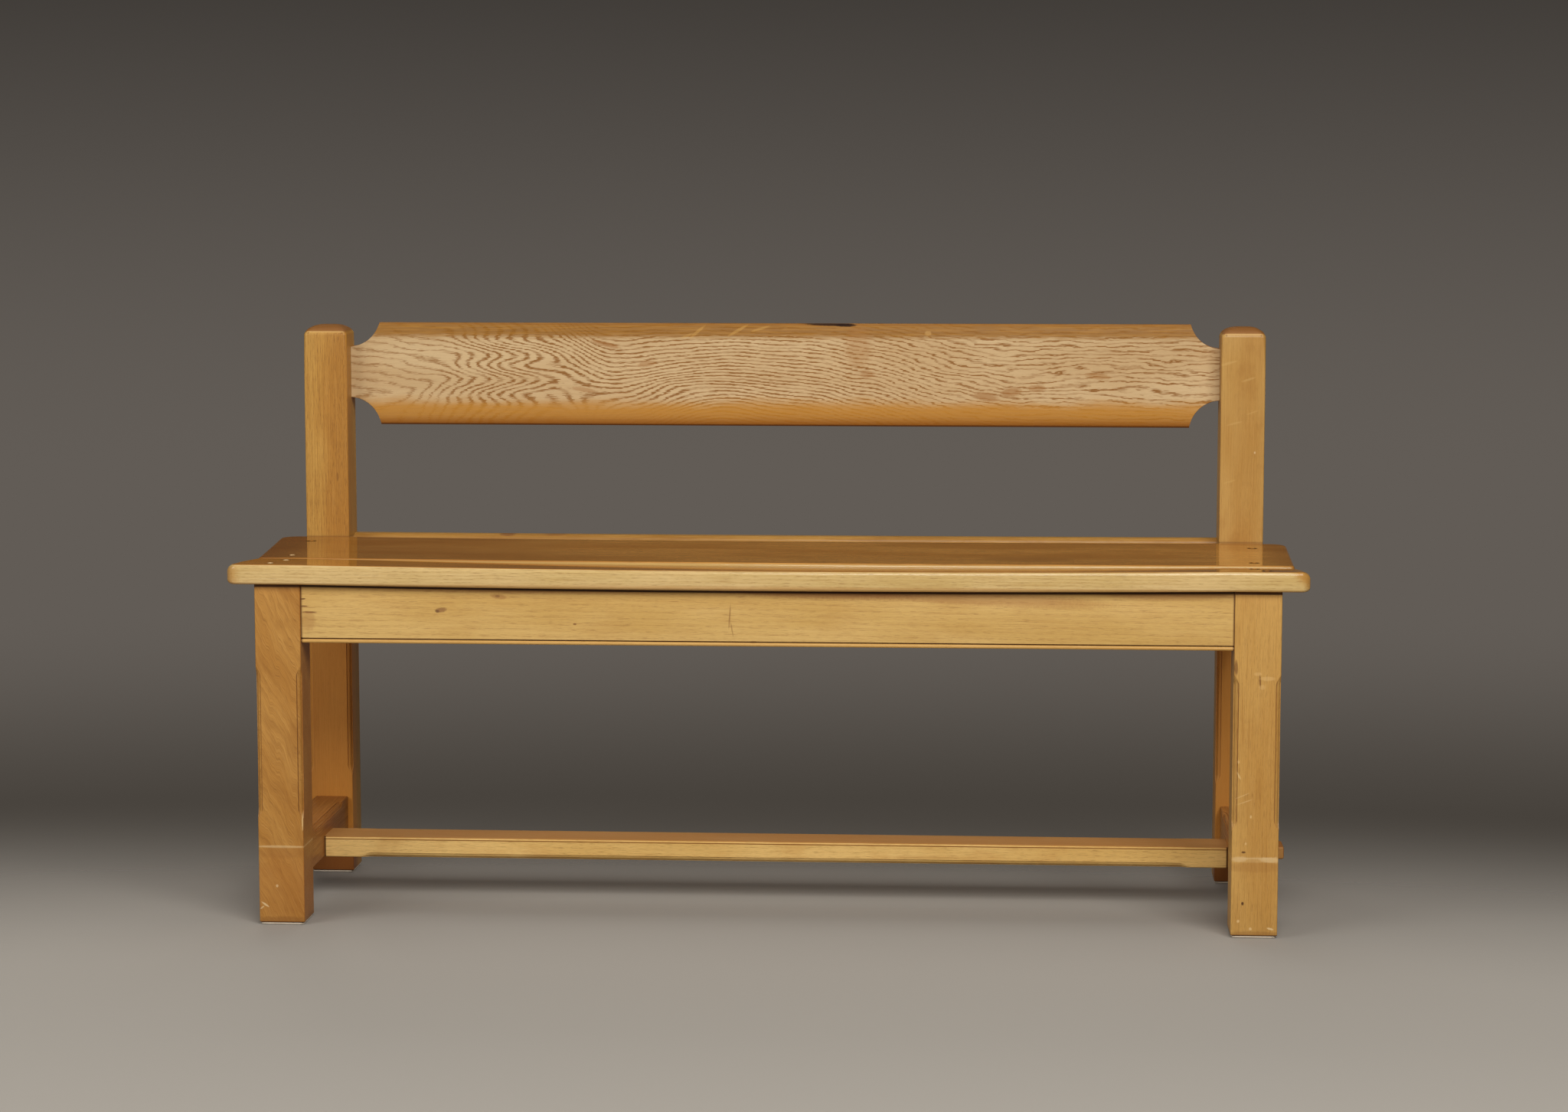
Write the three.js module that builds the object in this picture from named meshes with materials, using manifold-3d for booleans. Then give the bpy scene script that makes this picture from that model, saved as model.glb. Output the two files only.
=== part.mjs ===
// Oak monks bench: a joined frame with a two board plank seat and one scalloped back rail.
// Millimetres. X runs along the bench, Y from the front to the back, Z up.
// Left and right are as seen by someone who stands in front of the bench.

import * as THREE from 'three';
import { mergeVertices } from 'three/addons/utils/BufferGeometryUtils.js';
import Module from 'manifold-3d';

const wasm = await Module();
wasm.setup();

// Driving dimensions of the whole bench
const frameLength = 1326; // over the outer faces of the legs
const frameDepth = 400; // from the front legs' faces to the rear posts' backs
const legSide = 60;
const legTop = 450; // the seat boards lie at this height
const postShoulder = 762; // where the post's straight faces end
const feltThickness = 3;

// Clearances and walls that every joint shares
const fitGap = 0.3; // between a tenon and its mortise
const shoulderGap = 0.2; // between a shoulder and the face that it meets
const jointWall = 3; // least timber left between two joints
const tenonRoot = 6; // how far a tenon's blank runs back into its own rail
const overrun = 4; // how far a cut runs out past the timber

// Seat boards
const seatEndOverhang = 35; // past the legs' outer faces, at the front edge
const seatWaistInset = 19.5; // how far the ends draw in where the two boards meet
const seatRearInset = 4; // how much of that is left at the rear corners
const seatFrontOverhang = 10;
const frontBoardWidth = 80;
const frontBoardThickness = 26;
const mainBoardThickness = 27;
const boardGap = 0.4;
const frontBoardArris = 5;
const mainBoardArris = 3;
const frontCornerRadius = 12;
const frontEndFlat = 6; // past its corner, the end runs square for this far before it draws in
const flatEndRadius = 14;
const rearCornerRadius = 24;
const jointCornerRadius = 7;
const tongueDepth = 9;
const tongueThickness = 8;
const tongueStop = 60; // the tongue ends this far in from the boards' ends
const tongueHeight = 9; // above the boards' underside

// Front and end aprons, with a bead along the lower edge
const apronHeight = 77;
const apronThickness = 25;
const apronSetback = 3;
const beadRadius = 2.6;
const quirkWidth = 1.6;
const quirkDepth = 2.2;
const apronArris = 1;
const endApronThickness = 28;
const endApronInset = 10;

// Tenons of the aprons and of the rear rail
const railTenonThickness = 12;
const endTenonThickness = 10;
const endTenonInset = 5; // from the end apron's outer face
const tenonBottomShoulder = 8;
const haunchDrop = 20;
const haunchLength = 10;

// Rear rail, seen through the slot behind the seat
const rearRailRise = 29; // above the legs' tops
const rearRailHeight = 84;
const rearRailThickness = 25;
const rearRailSetback = 3;
const rearRailRound = 8;

// Scalloped back rail
const backRailDrop = 131; // from the posts' shoulders down to the rail's lower edge
const backRailHeight = 142;
const backRailThickness = 25;
const backRailSetback = 30; // behind the posts' front faces
const scallopRadius = 43;
const scallopCentreOut = 2; // past the shoulder
const scallopAbove = 33; // how far the rail is cut down where it meets the posts
const scallopBelow = 38;
const backTopBand = 23; // height of the rounded band above the flat field
const backBottomBand = 34;
const backBandFall = 8; // how far the bands fall back from the field
const backRearRound = 6;
const backTenonHeight = 50;

// Low H stretcher
const sideStretcherBottom = 57;
const sideStretcherHeight = 52;
const sideStretcherWidth = 46;
const sideStretcherInset = 7; // behind the legs' outer faces
const sideTenonLength = 30;
const sideTenonThickness = 20;
const sideTenonShoulder = 8;
const centreStretcherDepth = 62;
const centreStretcherThickness = 28;
const throughTenonDepth = 42;
const throughTenonHeight = 17;
const throughTenonProjection = 29; // past the side stretcher's outer face
const throughTenonArris = 2.5;

// Stopped mouldings: a quirk and an ovolo that run out in lamb's tongues
const mouldingWidth = 6.5;
const mouldingQuirk = 1.3;
const tongueRun = 18; // length of a lamb's tongue
const legMouldingRise = 27; // starts this far above the side stretchers
const legMouldingDrop = 26; // ends this far below the aprons
const sideMouldingStop = 34;
const centreMouldingStop = 46;
const tongueShares = [0.06, 0.17, 0.42, 0.74, 0.93, 1]; // the section's size along a tongue

// Pillow top of a post
const pillowRise = 9;
const pillowArris = 3;
const pillowFullness = 0.85;

// Softened edges
const legArris = 1.6;
const railArris = 2;

// Seat bearers, out of sight under the boards
const bearerWidth = 30;
const bearerHeight = 45;
const bearerSpacing = 450;
const bearerTenonLength = 10;
const bearerTenonWidth = 14;
const bearerShoulder = 9;

// Pegs through the seat boards
const pegDiameter = 9;
const pegDepth = 34; // into the legs and end aprons
const pegGap = 0.2;
const cornerPegFromSide = 19;
const cornerPegFromFront = 14;
const legPegFromBack = 12;
const boardPegFromJoint = 34;
const rearPegFromPost = 60;
const pegStagger = 5;

// Felt pads
const feltSide = 52;
const feltRadius = 5;

// Fineness of the curved faces
const arrisSteps = 2;
const boardSteps = 3;
const cornerSteps = 5;
const curveSteps = 8;
const ovoloSteps = 4;
const pillowSteps = 12;
const pegSides = 16;
const scallopSides = 64;

// Planes that several pieces share
const benchDepth = frameDepth + seatFrontOverhang;
const seatFrontY = -benchDepth / 2;
const legFaceY = seatFrontY + seatFrontOverhang;
const legBackY = legFaceY + legSide;
const postBackY = legFaceY + frameDepth;
const postFaceY = postBackY - legSide;
const outerFaceX = frameLength / 2;
const innerFaceX = outerFaceX - legSide;
const boardJointY = seatFrontY + frontBoardWidth;
const seatHalf = outerFaceX + seatEndOverhang;
const waistHalf = seatHalf - seatWaistInset;
const rearRailTop = legTop + rearRailRise;
const backRailBottom = postShoulder - backRailDrop;
const seatUnderside = legTop + shoulderGap;
const thickestBoardTop = seatUnderside + Math.max(frontBoardThickness, mainBoardThickness);
const pegRadius = pegDiameter / 2;

// Solids and the three directions that profiles are carried along
const unitX = new THREE.Vector3(1, 0, 0);
const unitY = new THREE.Vector3(0, 1, 0);
const unitZ = new THREE.Vector3(0, 0, 1);
const directions = {
  x: new THREE.Matrix4().makeBasis(unitY, unitZ, unitX), // profile drawn in Y and Z
  y: new THREE.Matrix4().makeBasis(unitX, unitZ, unitY.clone().negate()), // profile in X and Z
  z: new THREE.Matrix4(), // profile in X and Y
};

function toSolid(geometry) {
  const bare = geometry.clone();
  bare.deleteAttribute('normal');
  bare.deleteAttribute('uv');
  const welded = mergeVertices(bare);
  return new wasm.Manifold(new wasm.Mesh({
    numProp: 3,
    vertProperties: new Float32Array(welded.attributes.position.array),
    triVerts: new Uint32Array(welded.index.array),
  }));
}

function block(xs, ys, zs) {
  const low = new THREE.Vector3(Math.min(...xs), Math.min(...ys), Math.min(...zs));
  const high = new THREE.Vector3(Math.max(...xs), Math.max(...ys), Math.max(...zs));
  const size = high.clone().sub(low);
  const centre = low.clone().add(high).divideScalar(2);
  const geometry = new THREE.BoxGeometry(size.x, size.y, size.z);
  geometry.translate(centre.x, centre.y, centre.z);
  return toSolid(geometry);
}

// A profile carried along one axis, with its two end edges softened by endArris.
function extrude(axis, shape, from, to, endArris = 0, steps = arrisSteps) {
  const geometry = new THREE.ExtrudeGeometry(shape, {
    depth: to - from - 2 * endArris,
    curveSegments: curveSteps,
    bevelEnabled: endArris > 0,
    bevelThickness: endArris,
    bevelSize: endArris,
    bevelOffset: -endArris,
    bevelSegments: steps,
  });
  geometry.translate(0, 0, endArris);
  geometry.applyMatrix4(directions[axis]);
  const start = { x: new THREE.Vector3(from, 0, 0), y: new THREE.Vector3(0, to, 0), z: new THREE.Vector3(0, 0, from) };
  geometry.translate(...start[axis].toArray());
  return toSolid(geometry);
}

// A closed outline through corners, each rounded by its own radius in a number of steps.
function roundedOutline(corners, steps = arrisSteps) {
  const points = [];
  corners.forEach(([x, y, radius], index) => {
    const here = new THREE.Vector2(x, y);
    const before = new THREE.Vector2(...corners.at(index - 1)).sub(here).normalize();
    const after = new THREE.Vector2(...corners[(index + 1) % corners.length]).sub(here).normalize();
    const half = before.angleTo(after) / 2;
    const reach = radius / Math.tan(half);
    const centre = before.clone().add(after).normalize().multiplyScalar(radius / Math.sin(half)).add(here);
    const first = before.clone().multiplyScalar(reach).add(here).sub(centre);
    const last = after.clone().multiplyScalar(reach).add(here).sub(centre);
    const turn = Math.atan2(first.cross(last), first.dot(last));
    for (let step = 0; step <= steps; step++) {
      points.push(first.clone().rotateAround(new THREE.Vector2(), turn * step / steps).add(centre));
    }
  });
  return new THREE.Shape(points);
}

function roundedRectangle([left, right], [low, high], radius) {
  return roundedOutline([[left, low, radius], [right, low, radius], [right, high, radius], [left, high, radius]]);
}

function widened([low, high], gap) {
  return [Math.min(low, high) - gap, Math.max(low, high) + gap];
}

// Joined blocks: tenons as they are, or with every side widened to cut their mortises.
function joinedBlocks(ranges, gap = 0) {
  const solids = ranges.map(({ xs, ys, zs }) => block(widened(xs, gap), widened(ys, gap), widened(zs, gap)));
  return solids.reduce((whole, next) => whole.add(next));
}

// Skin through equal rings of points, closed by the ring's own outline at both ends.
function loft(rings, outline) {
  const count = outline.length;
  const faces = [];
  for (let ring = 0; ring < rings.length - 1; ring++) {
    for (let index = 0; index < count; index++) {
      const next = (index + 1) % count;
      const [a, b] = [ring * count + index, ring * count + next];
      faces.push(a, b, b + count, a, b + count, a + count);
    }
  }
  const last = (rings.length - 1) * count;
  for (const [a, b, c] of THREE.ShapeUtils.triangulateShape(outline, [])) {
    faces.push(a, c, b, last + a, last + b, last + c);
  }
  const points = rings.flat();
  if (enclosedVolume(points, faces) < 0) {
    faces.reverse();
  }
  const geometry = new THREE.BufferGeometry().setFromPoints(points);
  geometry.setIndex(faces);
  return toSolid(geometry);
}

function enclosedVolume(points, faces) {
  let total = 0;
  for (let index = 0; index < faces.length; index += 3) {
    const [a, b, c] = faces.slice(index, index + 3).map((point) => points[point]);
    total += a.dot(b.clone().cross(c));
  }
  return total;
}

// What a stopped moulding takes off a square edge. The edge runs along one axis from start to
// stop, at the corner (a, b) of the section, and inA and inB point from it into the timber.
function stoppedMoulding(axis, [a, b], [inA, inB], [start, stop]) {
  const radius = mouldingWidth - mouldingQuirk;
  const section = (share) => {
    const ovolo = Array.from({ length: ovoloSteps + 1 }, (_, step) => {
      const angle = -Math.PI / 2 * (1 + step / ovoloSteps);
      const along = mouldingWidth + radius * Math.cos(angle);
      const across = mouldingWidth + radius * Math.sin(angle);
      return new THREE.Vector2(share * along, share * across);
    });
    return [
      new THREE.Vector2(-overrun, -overrun),
      new THREE.Vector2(share * mouldingWidth, -overrun),
      ...ovolo,
      new THREE.Vector2(-overrun, share * mouldingWidth),
    ];
  };
  const place = ({ x: u, y: v }, along) => ({
    x: new THREE.Vector3(along, a + inA * u, b + inB * v),
    y: new THREE.Vector3(a + inA * u, along, b + inB * v),
    z: new THREE.Vector3(a + inA * u, b + inB * v, along),
  })[axis];
  const last = tongueShares.length - 1;
  const entry = tongueShares.map((share, index) => [share, start + tongueRun * index / last]);
  const exit = tongueShares.map((share, index) => [share, stop - tongueRun * index / last]).reverse();
  const rings = [...entry, ...exit].map(([share, along]) => section(share).map((point) => place(point, along)));
  return loft(rings, section(1));
}

// Tenons, as ranges in bench coordinates. Side is -1 on the left and 1 on the right.
const frontApronYs = [legFaceY + apronSetback, legFaceY + apronSetback + apronThickness];
const rearRailYs = [postBackY - rearRailSetback - rearRailThickness, postBackY - rearRailSetback];
const backRailYs = [postFaceY + backRailSetback, postFaceY + backRailSetback + backRailThickness];
const endApronOuterX = outerFaceX - endApronInset;
const endApronInnerX = endApronOuterX - endApronThickness;
const endTenonOuterX = endApronOuterX - endTenonInset;
const endTenonInnerX = endTenonOuterX - endTenonThickness;
const cornerPegX = outerFaceX - cornerPegFromSide;
const railTenonEndX = cornerPegX - pegRadius - jointWall;
const apronBottom = legTop - apronHeight;

function centred([low, high], size) {
  const middle = (low + high) / 2;
  return [middle - size / 2, middle + size / 2];
}

function frontApronTenon(side) {
  const ys = centred(frontApronYs, railTenonThickness);
  const start = innerFaceX - tenonRoot;
  const haunchEnd = innerFaceX + haunchLength;
  return [
    { xs: [side * start, side * railTenonEndX], ys, zs: [apronBottom + tenonBottomShoulder, legTop - haunchDrop] },
    { xs: [side * start, side * haunchEnd], ys, zs: [apronBottom + tenonBottomShoulder, legTop] },
  ];
}

function endApronTenon(side, toFront) {
  const xs = [side * endTenonOuterX, side * endTenonInnerX];
  const zs = [apronBottom + tenonBottomShoulder, legTop - haunchDrop];
  const frontStop = centred(frontApronYs, railTenonThickness)[1] + jointWall;
  const rearStop = centred(rearRailYs, railTenonThickness)[0] - jointWall;
  const ys = toFront ? [frontStop, legBackY + tenonRoot] : [postFaceY - tenonRoot, rearStop];
  return [{ xs, ys, zs }];
}

function rearRailTenon(side) {
  const ys = centred(rearRailYs, railTenonThickness);
  const zs = widened([rearRailTop - rearRailHeight, rearRailTop], -tenonBottomShoulder);
  return [{ xs: [side * (innerFaceX - tenonRoot), side * railTenonEndX], ys, zs }];
}

function backRailTenon(side) {
  const ys = centred(backRailYs, railTenonThickness);
  const neck = [backRailBottom + scallopBelow, backRailBottom + backRailHeight - scallopAbove];
  return [{ xs: [side * (innerFaceX - tenonRoot), side * railTenonEndX], ys, zs: centred(neck, backTenonHeight) }];
}

const sideStretcherOuterX = outerFaceX - sideStretcherInset;
const sideStretcherInnerX = sideStretcherOuterX - sideStretcherWidth;
const sideStretcherZs = [sideStretcherBottom, sideStretcherBottom + sideStretcherHeight];

function sideStretcherTenon(side, toFront) {
  const xs = centred([side * sideStretcherOuterX, side * sideStretcherInnerX], sideTenonThickness);
  const zs = widened(sideStretcherZs, -sideTenonShoulder);
  const ys = toFront
    ? [legBackY - sideTenonLength, legBackY + tenonRoot]
    : [postFaceY - tenonRoot, postFaceY + sideTenonLength];
  return [{ xs, ys, zs }];
}

const centreStretcherYs = centred([legFaceY, postBackY], centreStretcherDepth);
const centreStretcherTop = sideStretcherBottom + centreStretcherThickness;
const throughTenonYs = centred(centreStretcherYs, throughTenonDepth);
const throughTenonZs = [centreStretcherTop - throughTenonHeight, centreStretcherTop];
const throughTenonEndX = sideStretcherOuterX + throughTenonProjection;

function bearerTenons(middle) {
  const xs = centred([middle, middle], bearerTenonWidth);
  const zs = [legTop - bearerHeight + bearerShoulder, legTop - bearerShoulder];
  return [{ xs, ys: [frontApronYs[1] - bearerTenonLength, rearRailYs[0] + bearerTenonLength], zs }];
}

const bearerMiddles = [-bearerSpacing / 2, bearerSpacing / 2];

// Pegs: one at the leg's outer corner and one behind it in the front board, two in the main board
const endApronMiddleX = (endApronOuterX + endApronInnerX) / 2;
const pegPlaces = [
  [cornerPegX, legFaceY + cornerPegFromFront, frontBoardThickness],
  [endTenonInnerX - jointWall - pegRadius, legBackY - legPegFromBack, frontBoardThickness],
  [endApronMiddleX - pegStagger, boardJointY + boardPegFromJoint, mainBoardThickness],
  [endApronMiddleX + pegStagger, postFaceY - rearPegFromPost, mainBoardThickness],
];

function pegRod(x, y, radius, from, to) {
  const geometry = new THREE.CylinderGeometry(radius, radius, to - from, pegSides);
  geometry.rotateX(Math.PI / 2);
  geometry.translate(x, y, (from + to) / 2);
  return toSolid(geometry);
}

// Holes for the pegs on one side of the bench, deep enough for every board and rail they cross.
function pegHoles(side) {
  const holes = pegPlaces.map(([x, y]) => (
    pegRod(side * x, y, pegRadius + pegGap, legTop - pegDepth - pegGap, thickestBoardTop + overrun)
  ));
  return holes.reduce((whole, next) => whole.add(next));
}

// Legs and posts
function legMouldings(side, faceY) {
  const heights = [sideStretcherZs[1] + legMouldingRise, apronBottom - legMouldingDrop];
  const outer = stoppedMoulding('z', [side * outerFaceX, faceY], [-side, 1], heights);
  const inner = stoppedMoulding('z', [side * innerFaceX, faceY], [side, 1], heights);
  return outer.add(inner);
}

function squareLeg(side, faceY, top) {
  const xs = [side * innerFaceX, side * outerFaceX].sort((a, b) => a - b);
  const shape = roundedRectangle(xs, [faceY, faceY + legSide], legArris);
  return extrude('z', shape, feltThickness + shoulderGap, top, legArris);
}

function frontLeg(side) {
  return squareLeg(side, legFaceY, legTop)
    .subtract(legMouldings(side, legFaceY))
    .subtract(joinedBlocks(frontApronTenon(side), fitGap))
    .subtract(joinedBlocks(endApronTenon(side, true), fitGap))
    .subtract(joinedBlocks(sideStretcherTenon(side, true), fitGap))
    .subtract(pegHoles(side));
}

// Square block whose top swells like a pillow and turns over its four edges.
function pillowBlock(side) {
  const base = postShoulder - legSide;
  const half = legSide / 2;
  const middleX = side * (outerFaceX - half);
  const middleY = postFaceY + half;
  const turnDown = (share) => {
    const inset = half * (1 - Math.abs(share));
    const rest = Math.max(pillowArris - inset, 0);
    return pillowArris - Math.sqrt(pillowArris ** 2 - rest ** 2);
  };
  const places = Array.from({ length: pillowSteps + 1 }, (_, step) => -Math.cos(Math.PI * step / pillowSteps));
  const swell = (u, v) => Math.max((1 - u ** 2) * (1 - v ** 2), 0) ** pillowFullness;
  const height = (u, v) => postShoulder + pillowRise * swell(u, v) - Math.max(turnDown(u), turnDown(v));
  const row = pillowSteps + 1;
  const points = [];
  for (const v of places) {
    for (const u of places) {
      points.push(new THREE.Vector3(middleX + half * u, middleY + half * v, height(u, v)));
    }
  }
  for (const v of places) {
    for (const u of places) {
      points.push(new THREE.Vector3(middleX + half * u, middleY + half * v, base));
    }
  }
  const faces = [];
  const floor = row * row;
  const quad = (a, b, c, d) => faces.push(a, b, c, a, c, d);
  for (let v = 0; v < pillowSteps; v++) {
    for (let u = 0; u < pillowSteps; u++) {
      const corner = v * row + u;
      quad(corner, corner + 1, corner + row + 1, corner + row);
      quad(floor + corner, floor + corner + row, floor + corner + row + 1, floor + corner + 1);
    }
  }
  for (let step = 0; step < pillowSteps; step++) {
    const far = row * pillowSteps;
    quad(floor + step, floor + step + 1, step + 1, step);
    quad(far + step, far + step + 1, floor + far + step + 1, floor + far + step);
    quad(step * row, (step + 1) * row, floor + (step + 1) * row, floor + step * row);
    quad(floor + step * row + row - 1, floor + (step + 1) * row + row - 1, (step + 1) * row + row - 1, step * row + row - 1);
  }
  const geometry = new THREE.BufferGeometry().setFromPoints(points);
  geometry.setIndex(faces);
  return toSolid(geometry);
}

function rearPost(side) {
  const blankTop = postShoulder + pillowRise + overrun;
  const lowerBlank = block(
    [side * (innerFaceX - overrun), side * (outerFaceX + overrun)],
    [postFaceY - overrun, postBackY + overrun],
    [0, postShoulder - legSide / 2],
  );
  return squareLeg(side, postFaceY, blankTop)
    .intersect(lowerBlank.add(pillowBlock(side)))
    .subtract(legMouldings(side, postFaceY))
    .subtract(joinedBlocks(endApronTenon(side, false), fitGap))
    .subtract(joinedBlocks(sideStretcherTenon(side, false), fitGap))
    .subtract(joinedBlocks(rearRailTenon(side), fitGap))
    .subtract(joinedBlocks(backRailTenon(side), fitGap));
}

// Apron section: square above, a bead and its quirk along the lower edge of the outer face.
// Out is the direction of the outer face, 1 or -1, and face is where it lies.
function apronSection(face, out, thickness) {
  const inner = face - out * thickness;
  const beadTop = apronBottom + 2 * beadRadius;
  const beadMiddle = face - out * beadRadius;
  const bead = Array.from({ length: curveSteps + 1 }, (_, step) => {
    const angle = Math.PI * (step / curveSteps - 0.5);
    const across = beadMiddle + out * beadRadius * Math.cos(angle);
    return new THREE.Vector2(across, apronBottom + beadRadius * (1 + Math.sin(angle)));
  });
  return new THREE.Shape([
    ...bead,
    new THREE.Vector2(face - out * quirkDepth, beadTop + quirkWidth),
    new THREE.Vector2(face, beadTop + quirkWidth),
    new THREE.Vector2(face, legTop - apronArris),
    new THREE.Vector2(face - out * apronArris, legTop),
    new THREE.Vector2(inner, legTop),
    new THREE.Vector2(inner, apronBottom + apronArris),
    new THREE.Vector2(inner + out * apronArris, apronBottom),
  ]);
}

function frontApron() {
  const reach = innerFaceX - shoulderGap;
  return extrude('x', apronSection(frontApronYs[0], -1, apronThickness), -reach, reach)
    .add(joinedBlocks(frontApronTenon(-1)))
    .add(joinedBlocks(frontApronTenon(1)))
    .subtract(joinedBlocks(bearerMiddles.flatMap(bearerTenons), fitGap));
}

function endApron(side) {
  const section = apronSection(side * endApronOuterX, side, endApronThickness);
  return extrude('y', section, legBackY + shoulderGap, postFaceY - shoulderGap)
    .add(joinedBlocks(endApronTenon(side, true)))
    .add(joinedBlocks(endApronTenon(side, false)))
    .subtract(pegHoles(side));
}

function rearRail() {
  const [front, back] = rearRailYs;
  const low = rearRailTop - rearRailHeight;
  const section = roundedOutline([
    [front, low, railArris],
    [back, low, railArris],
    [back, rearRailTop, rearRailRound],
    [front, rearRailTop, rearRailRound],
  ], cornerSteps);
  const reach = innerFaceX - shoulderGap;
  return extrude('x', section, -reach, reach)
    .add(joinedBlocks(rearRailTenon(-1)))
    .add(joinedBlocks(rearRailTenon(1)))
    .subtract(joinedBlocks(bearerMiddles.flatMap(bearerTenons), fitGap));
}

// Round cutter that scoops a corner of the back rail, straight through its thickness.
function scallop(middleX, middleZ) {
  const [front, back] = widened(backRailYs, 2 * overrun);
  const geometry = new THREE.CylinderGeometry(scallopRadius, scallopRadius, back - front, scallopSides);
  geometry.translate(middleX, (front + back) / 2, middleZ);
  return toSolid(geometry);
}

// Back rail: a board scooped at its four corners, met by the section with its soft bands.
function backRail() {
  const [front, back] = backRailYs;
  const top = backRailBottom + backRailHeight;
  const reach = innerFaceX - shoulderGap;
  const board = block([-reach, reach], [front - overrun, back + overrun], [backRailBottom, top]);
  const scallops = [-1, 1].flatMap((side) => {
    const middleX = side * (reach + scallopCentreOut);
    return [
      scallop(middleX, backRailBottom + scallopBelow - scallopRadius),
      scallop(middleX, top - scallopAbove + scallopRadius),
    ];
  });
  const section = new THREE.Shape();
  const fieldLow = backRailBottom + backBottomBand;
  const fieldHigh = top - backTopBand;
  const edgeY = front + backBandFall;
  section.moveTo(back - backRearRound, backRailBottom);
  section.absarc(back - backRearRound, backRailBottom + backRearRound, backRearRound, -Math.PI / 2, 0);
  section.absarc(back - backRearRound, top - backRearRound, backRearRound, 0, Math.PI / 2);
  section.lineTo(edgeY, top);
  section.absellipse(edgeY, fieldHigh, backBandFall, backTopBand, Math.PI / 2, Math.PI);
  section.absellipse(edgeY, fieldLow, backBandFall, backBottomBand, Math.PI, Math.PI * 1.5);
  return scallops.reduce((rail, cut) => rail.subtract(cut), board)
    .intersect(extrude('x', section, -reach - overrun, reach + overrun))
    .add(joinedBlocks(backRailTenon(-1)))
    .add(joinedBlocks(backRailTenon(1)));
}

// Stretchers
function throughTenon(side) {
  const shape = roundedRectangle(throughTenonYs, throughTenonZs, throughTenonArris);
  const ends = [side * (sideStretcherInnerX - tenonRoot), side * throughTenonEndX].sort((a, b) => a - b);
  return extrude('x', shape, ...ends, throughTenonArris);
}

function sideStretcher(side) {
  const xs = [side * sideStretcherInnerX, side * sideStretcherOuterX].sort((a, b) => a - b);
  const ends = [legBackY + shoulderGap, postFaceY - shoulderGap];
  const run = [ends[0] + sideMouldingStop, ends[1] - sideMouldingStop];
  const top = sideStretcherZs[1];
  const mortise = { xs: widened(xs, overrun), ys: throughTenonYs, zs: throughTenonZs };
  return extrude('y', roundedRectangle(xs, sideStretcherZs, railArris), ...ends)
    .add(joinedBlocks(sideStretcherTenon(side, true)))
    .add(joinedBlocks(sideStretcherTenon(side, false)))
    .subtract(stoppedMoulding('y', [side * sideStretcherInnerX, top], [side, -1], run))
    .subtract(stoppedMoulding('y', [side * sideStretcherOuterX, top], [-side, -1], run))
    .subtract(joinedBlocks([mortise], fitGap));
}

function centreStretcher() {
  const reach = sideStretcherInnerX - shoulderGap;
  const zs = [sideStretcherBottom, centreStretcherTop];
  const run = [centreMouldingStop - reach, reach - centreMouldingStop];
  let bar = extrude('x', roundedRectangle(centreStretcherYs, zs, railArris), -reach, reach)
    .add(throughTenon(-1))
    .add(throughTenon(1));
  for (const [index, inY] of [1, -1].entries()) {
    for (const [level, inZ] of [1, -1].entries()) {
      bar = bar.subtract(stoppedMoulding('x', [centreStretcherYs[index], zs[level]], [inY, inZ], run));
    }
  }
  return bar;
}

function seatBearer(middle) {
  const xs = centred([middle, middle], bearerWidth);
  const zs = [legTop - bearerHeight, legTop];
  const ends = [frontApronYs[1] + shoulderGap, rearRailYs[0] - shoulderGap];
  return extrude('y', roundedRectangle(xs, zs, railArris), ...ends)
    .add(joinedBlocks(bearerTenons(middle)));
}

// Seat boards: the ends draw in to a waist where the boards meet
function seatTongue(gap) {
  const reach = waistHalf - tongueStop;
  const ys = [boardJointY - tongueDepth, boardJointY + tenonRoot];
  const low = seatUnderside + tongueHeight;
  return joinedBlocks([{ xs: [-reach, reach], ys, zs: [low, low + tongueThickness] }], gap);
}

function seatFrontBoard() {
  const backY = boardJointY - boardGap;
  const flatEndY = seatFrontY + frontCornerRadius + frontEndFlat;
  const outline = roundedOutline([
    [-seatHalf, seatFrontY, frontCornerRadius],
    [seatHalf, seatFrontY, frontCornerRadius],
    [seatHalf, flatEndY, flatEndRadius],
    [waistHalf, backY, jointCornerRadius],
    [-waistHalf, backY, jointCornerRadius],
    [-seatHalf, flatEndY, flatEndRadius],
  ], cornerSteps);
  return extrude('z', outline, seatUnderside, seatUnderside + frontBoardThickness, frontBoardArris, boardSteps)
    .subtract(seatTongue(fitGap))
    .subtract(pegHoles(-1))
    .subtract(pegHoles(1));
}

function seatMainBoard() {
  const rearHalf = seatHalf - seatRearInset;
  const rearY = postFaceY - shoulderGap;
  const outline = roundedOutline([
    [-waistHalf, boardJointY, jointCornerRadius],
    [waistHalf, boardJointY, jointCornerRadius],
    [rearHalf, rearY, rearCornerRadius],
    [-rearHalf, rearY, rearCornerRadius],
  ], cornerSteps);
  return extrude('z', outline, seatUnderside, seatUnderside + mainBoardThickness, mainBoardArris, boardSteps)
    .add(seatTongue(0))
    .subtract(pegHoles(-1))
    .subtract(pegHoles(1));
}

function feltPad(side, middleY) {
  const middleX = side * (outerFaceX - legSide / 2);
  const shape = roundedRectangle(
    centred([middleX, middleX], feltSide),
    centred([middleY, middleY], feltSide),
    feltRadius,
  );
  return extrude('z', shape, 0, feltThickness);
}

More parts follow.
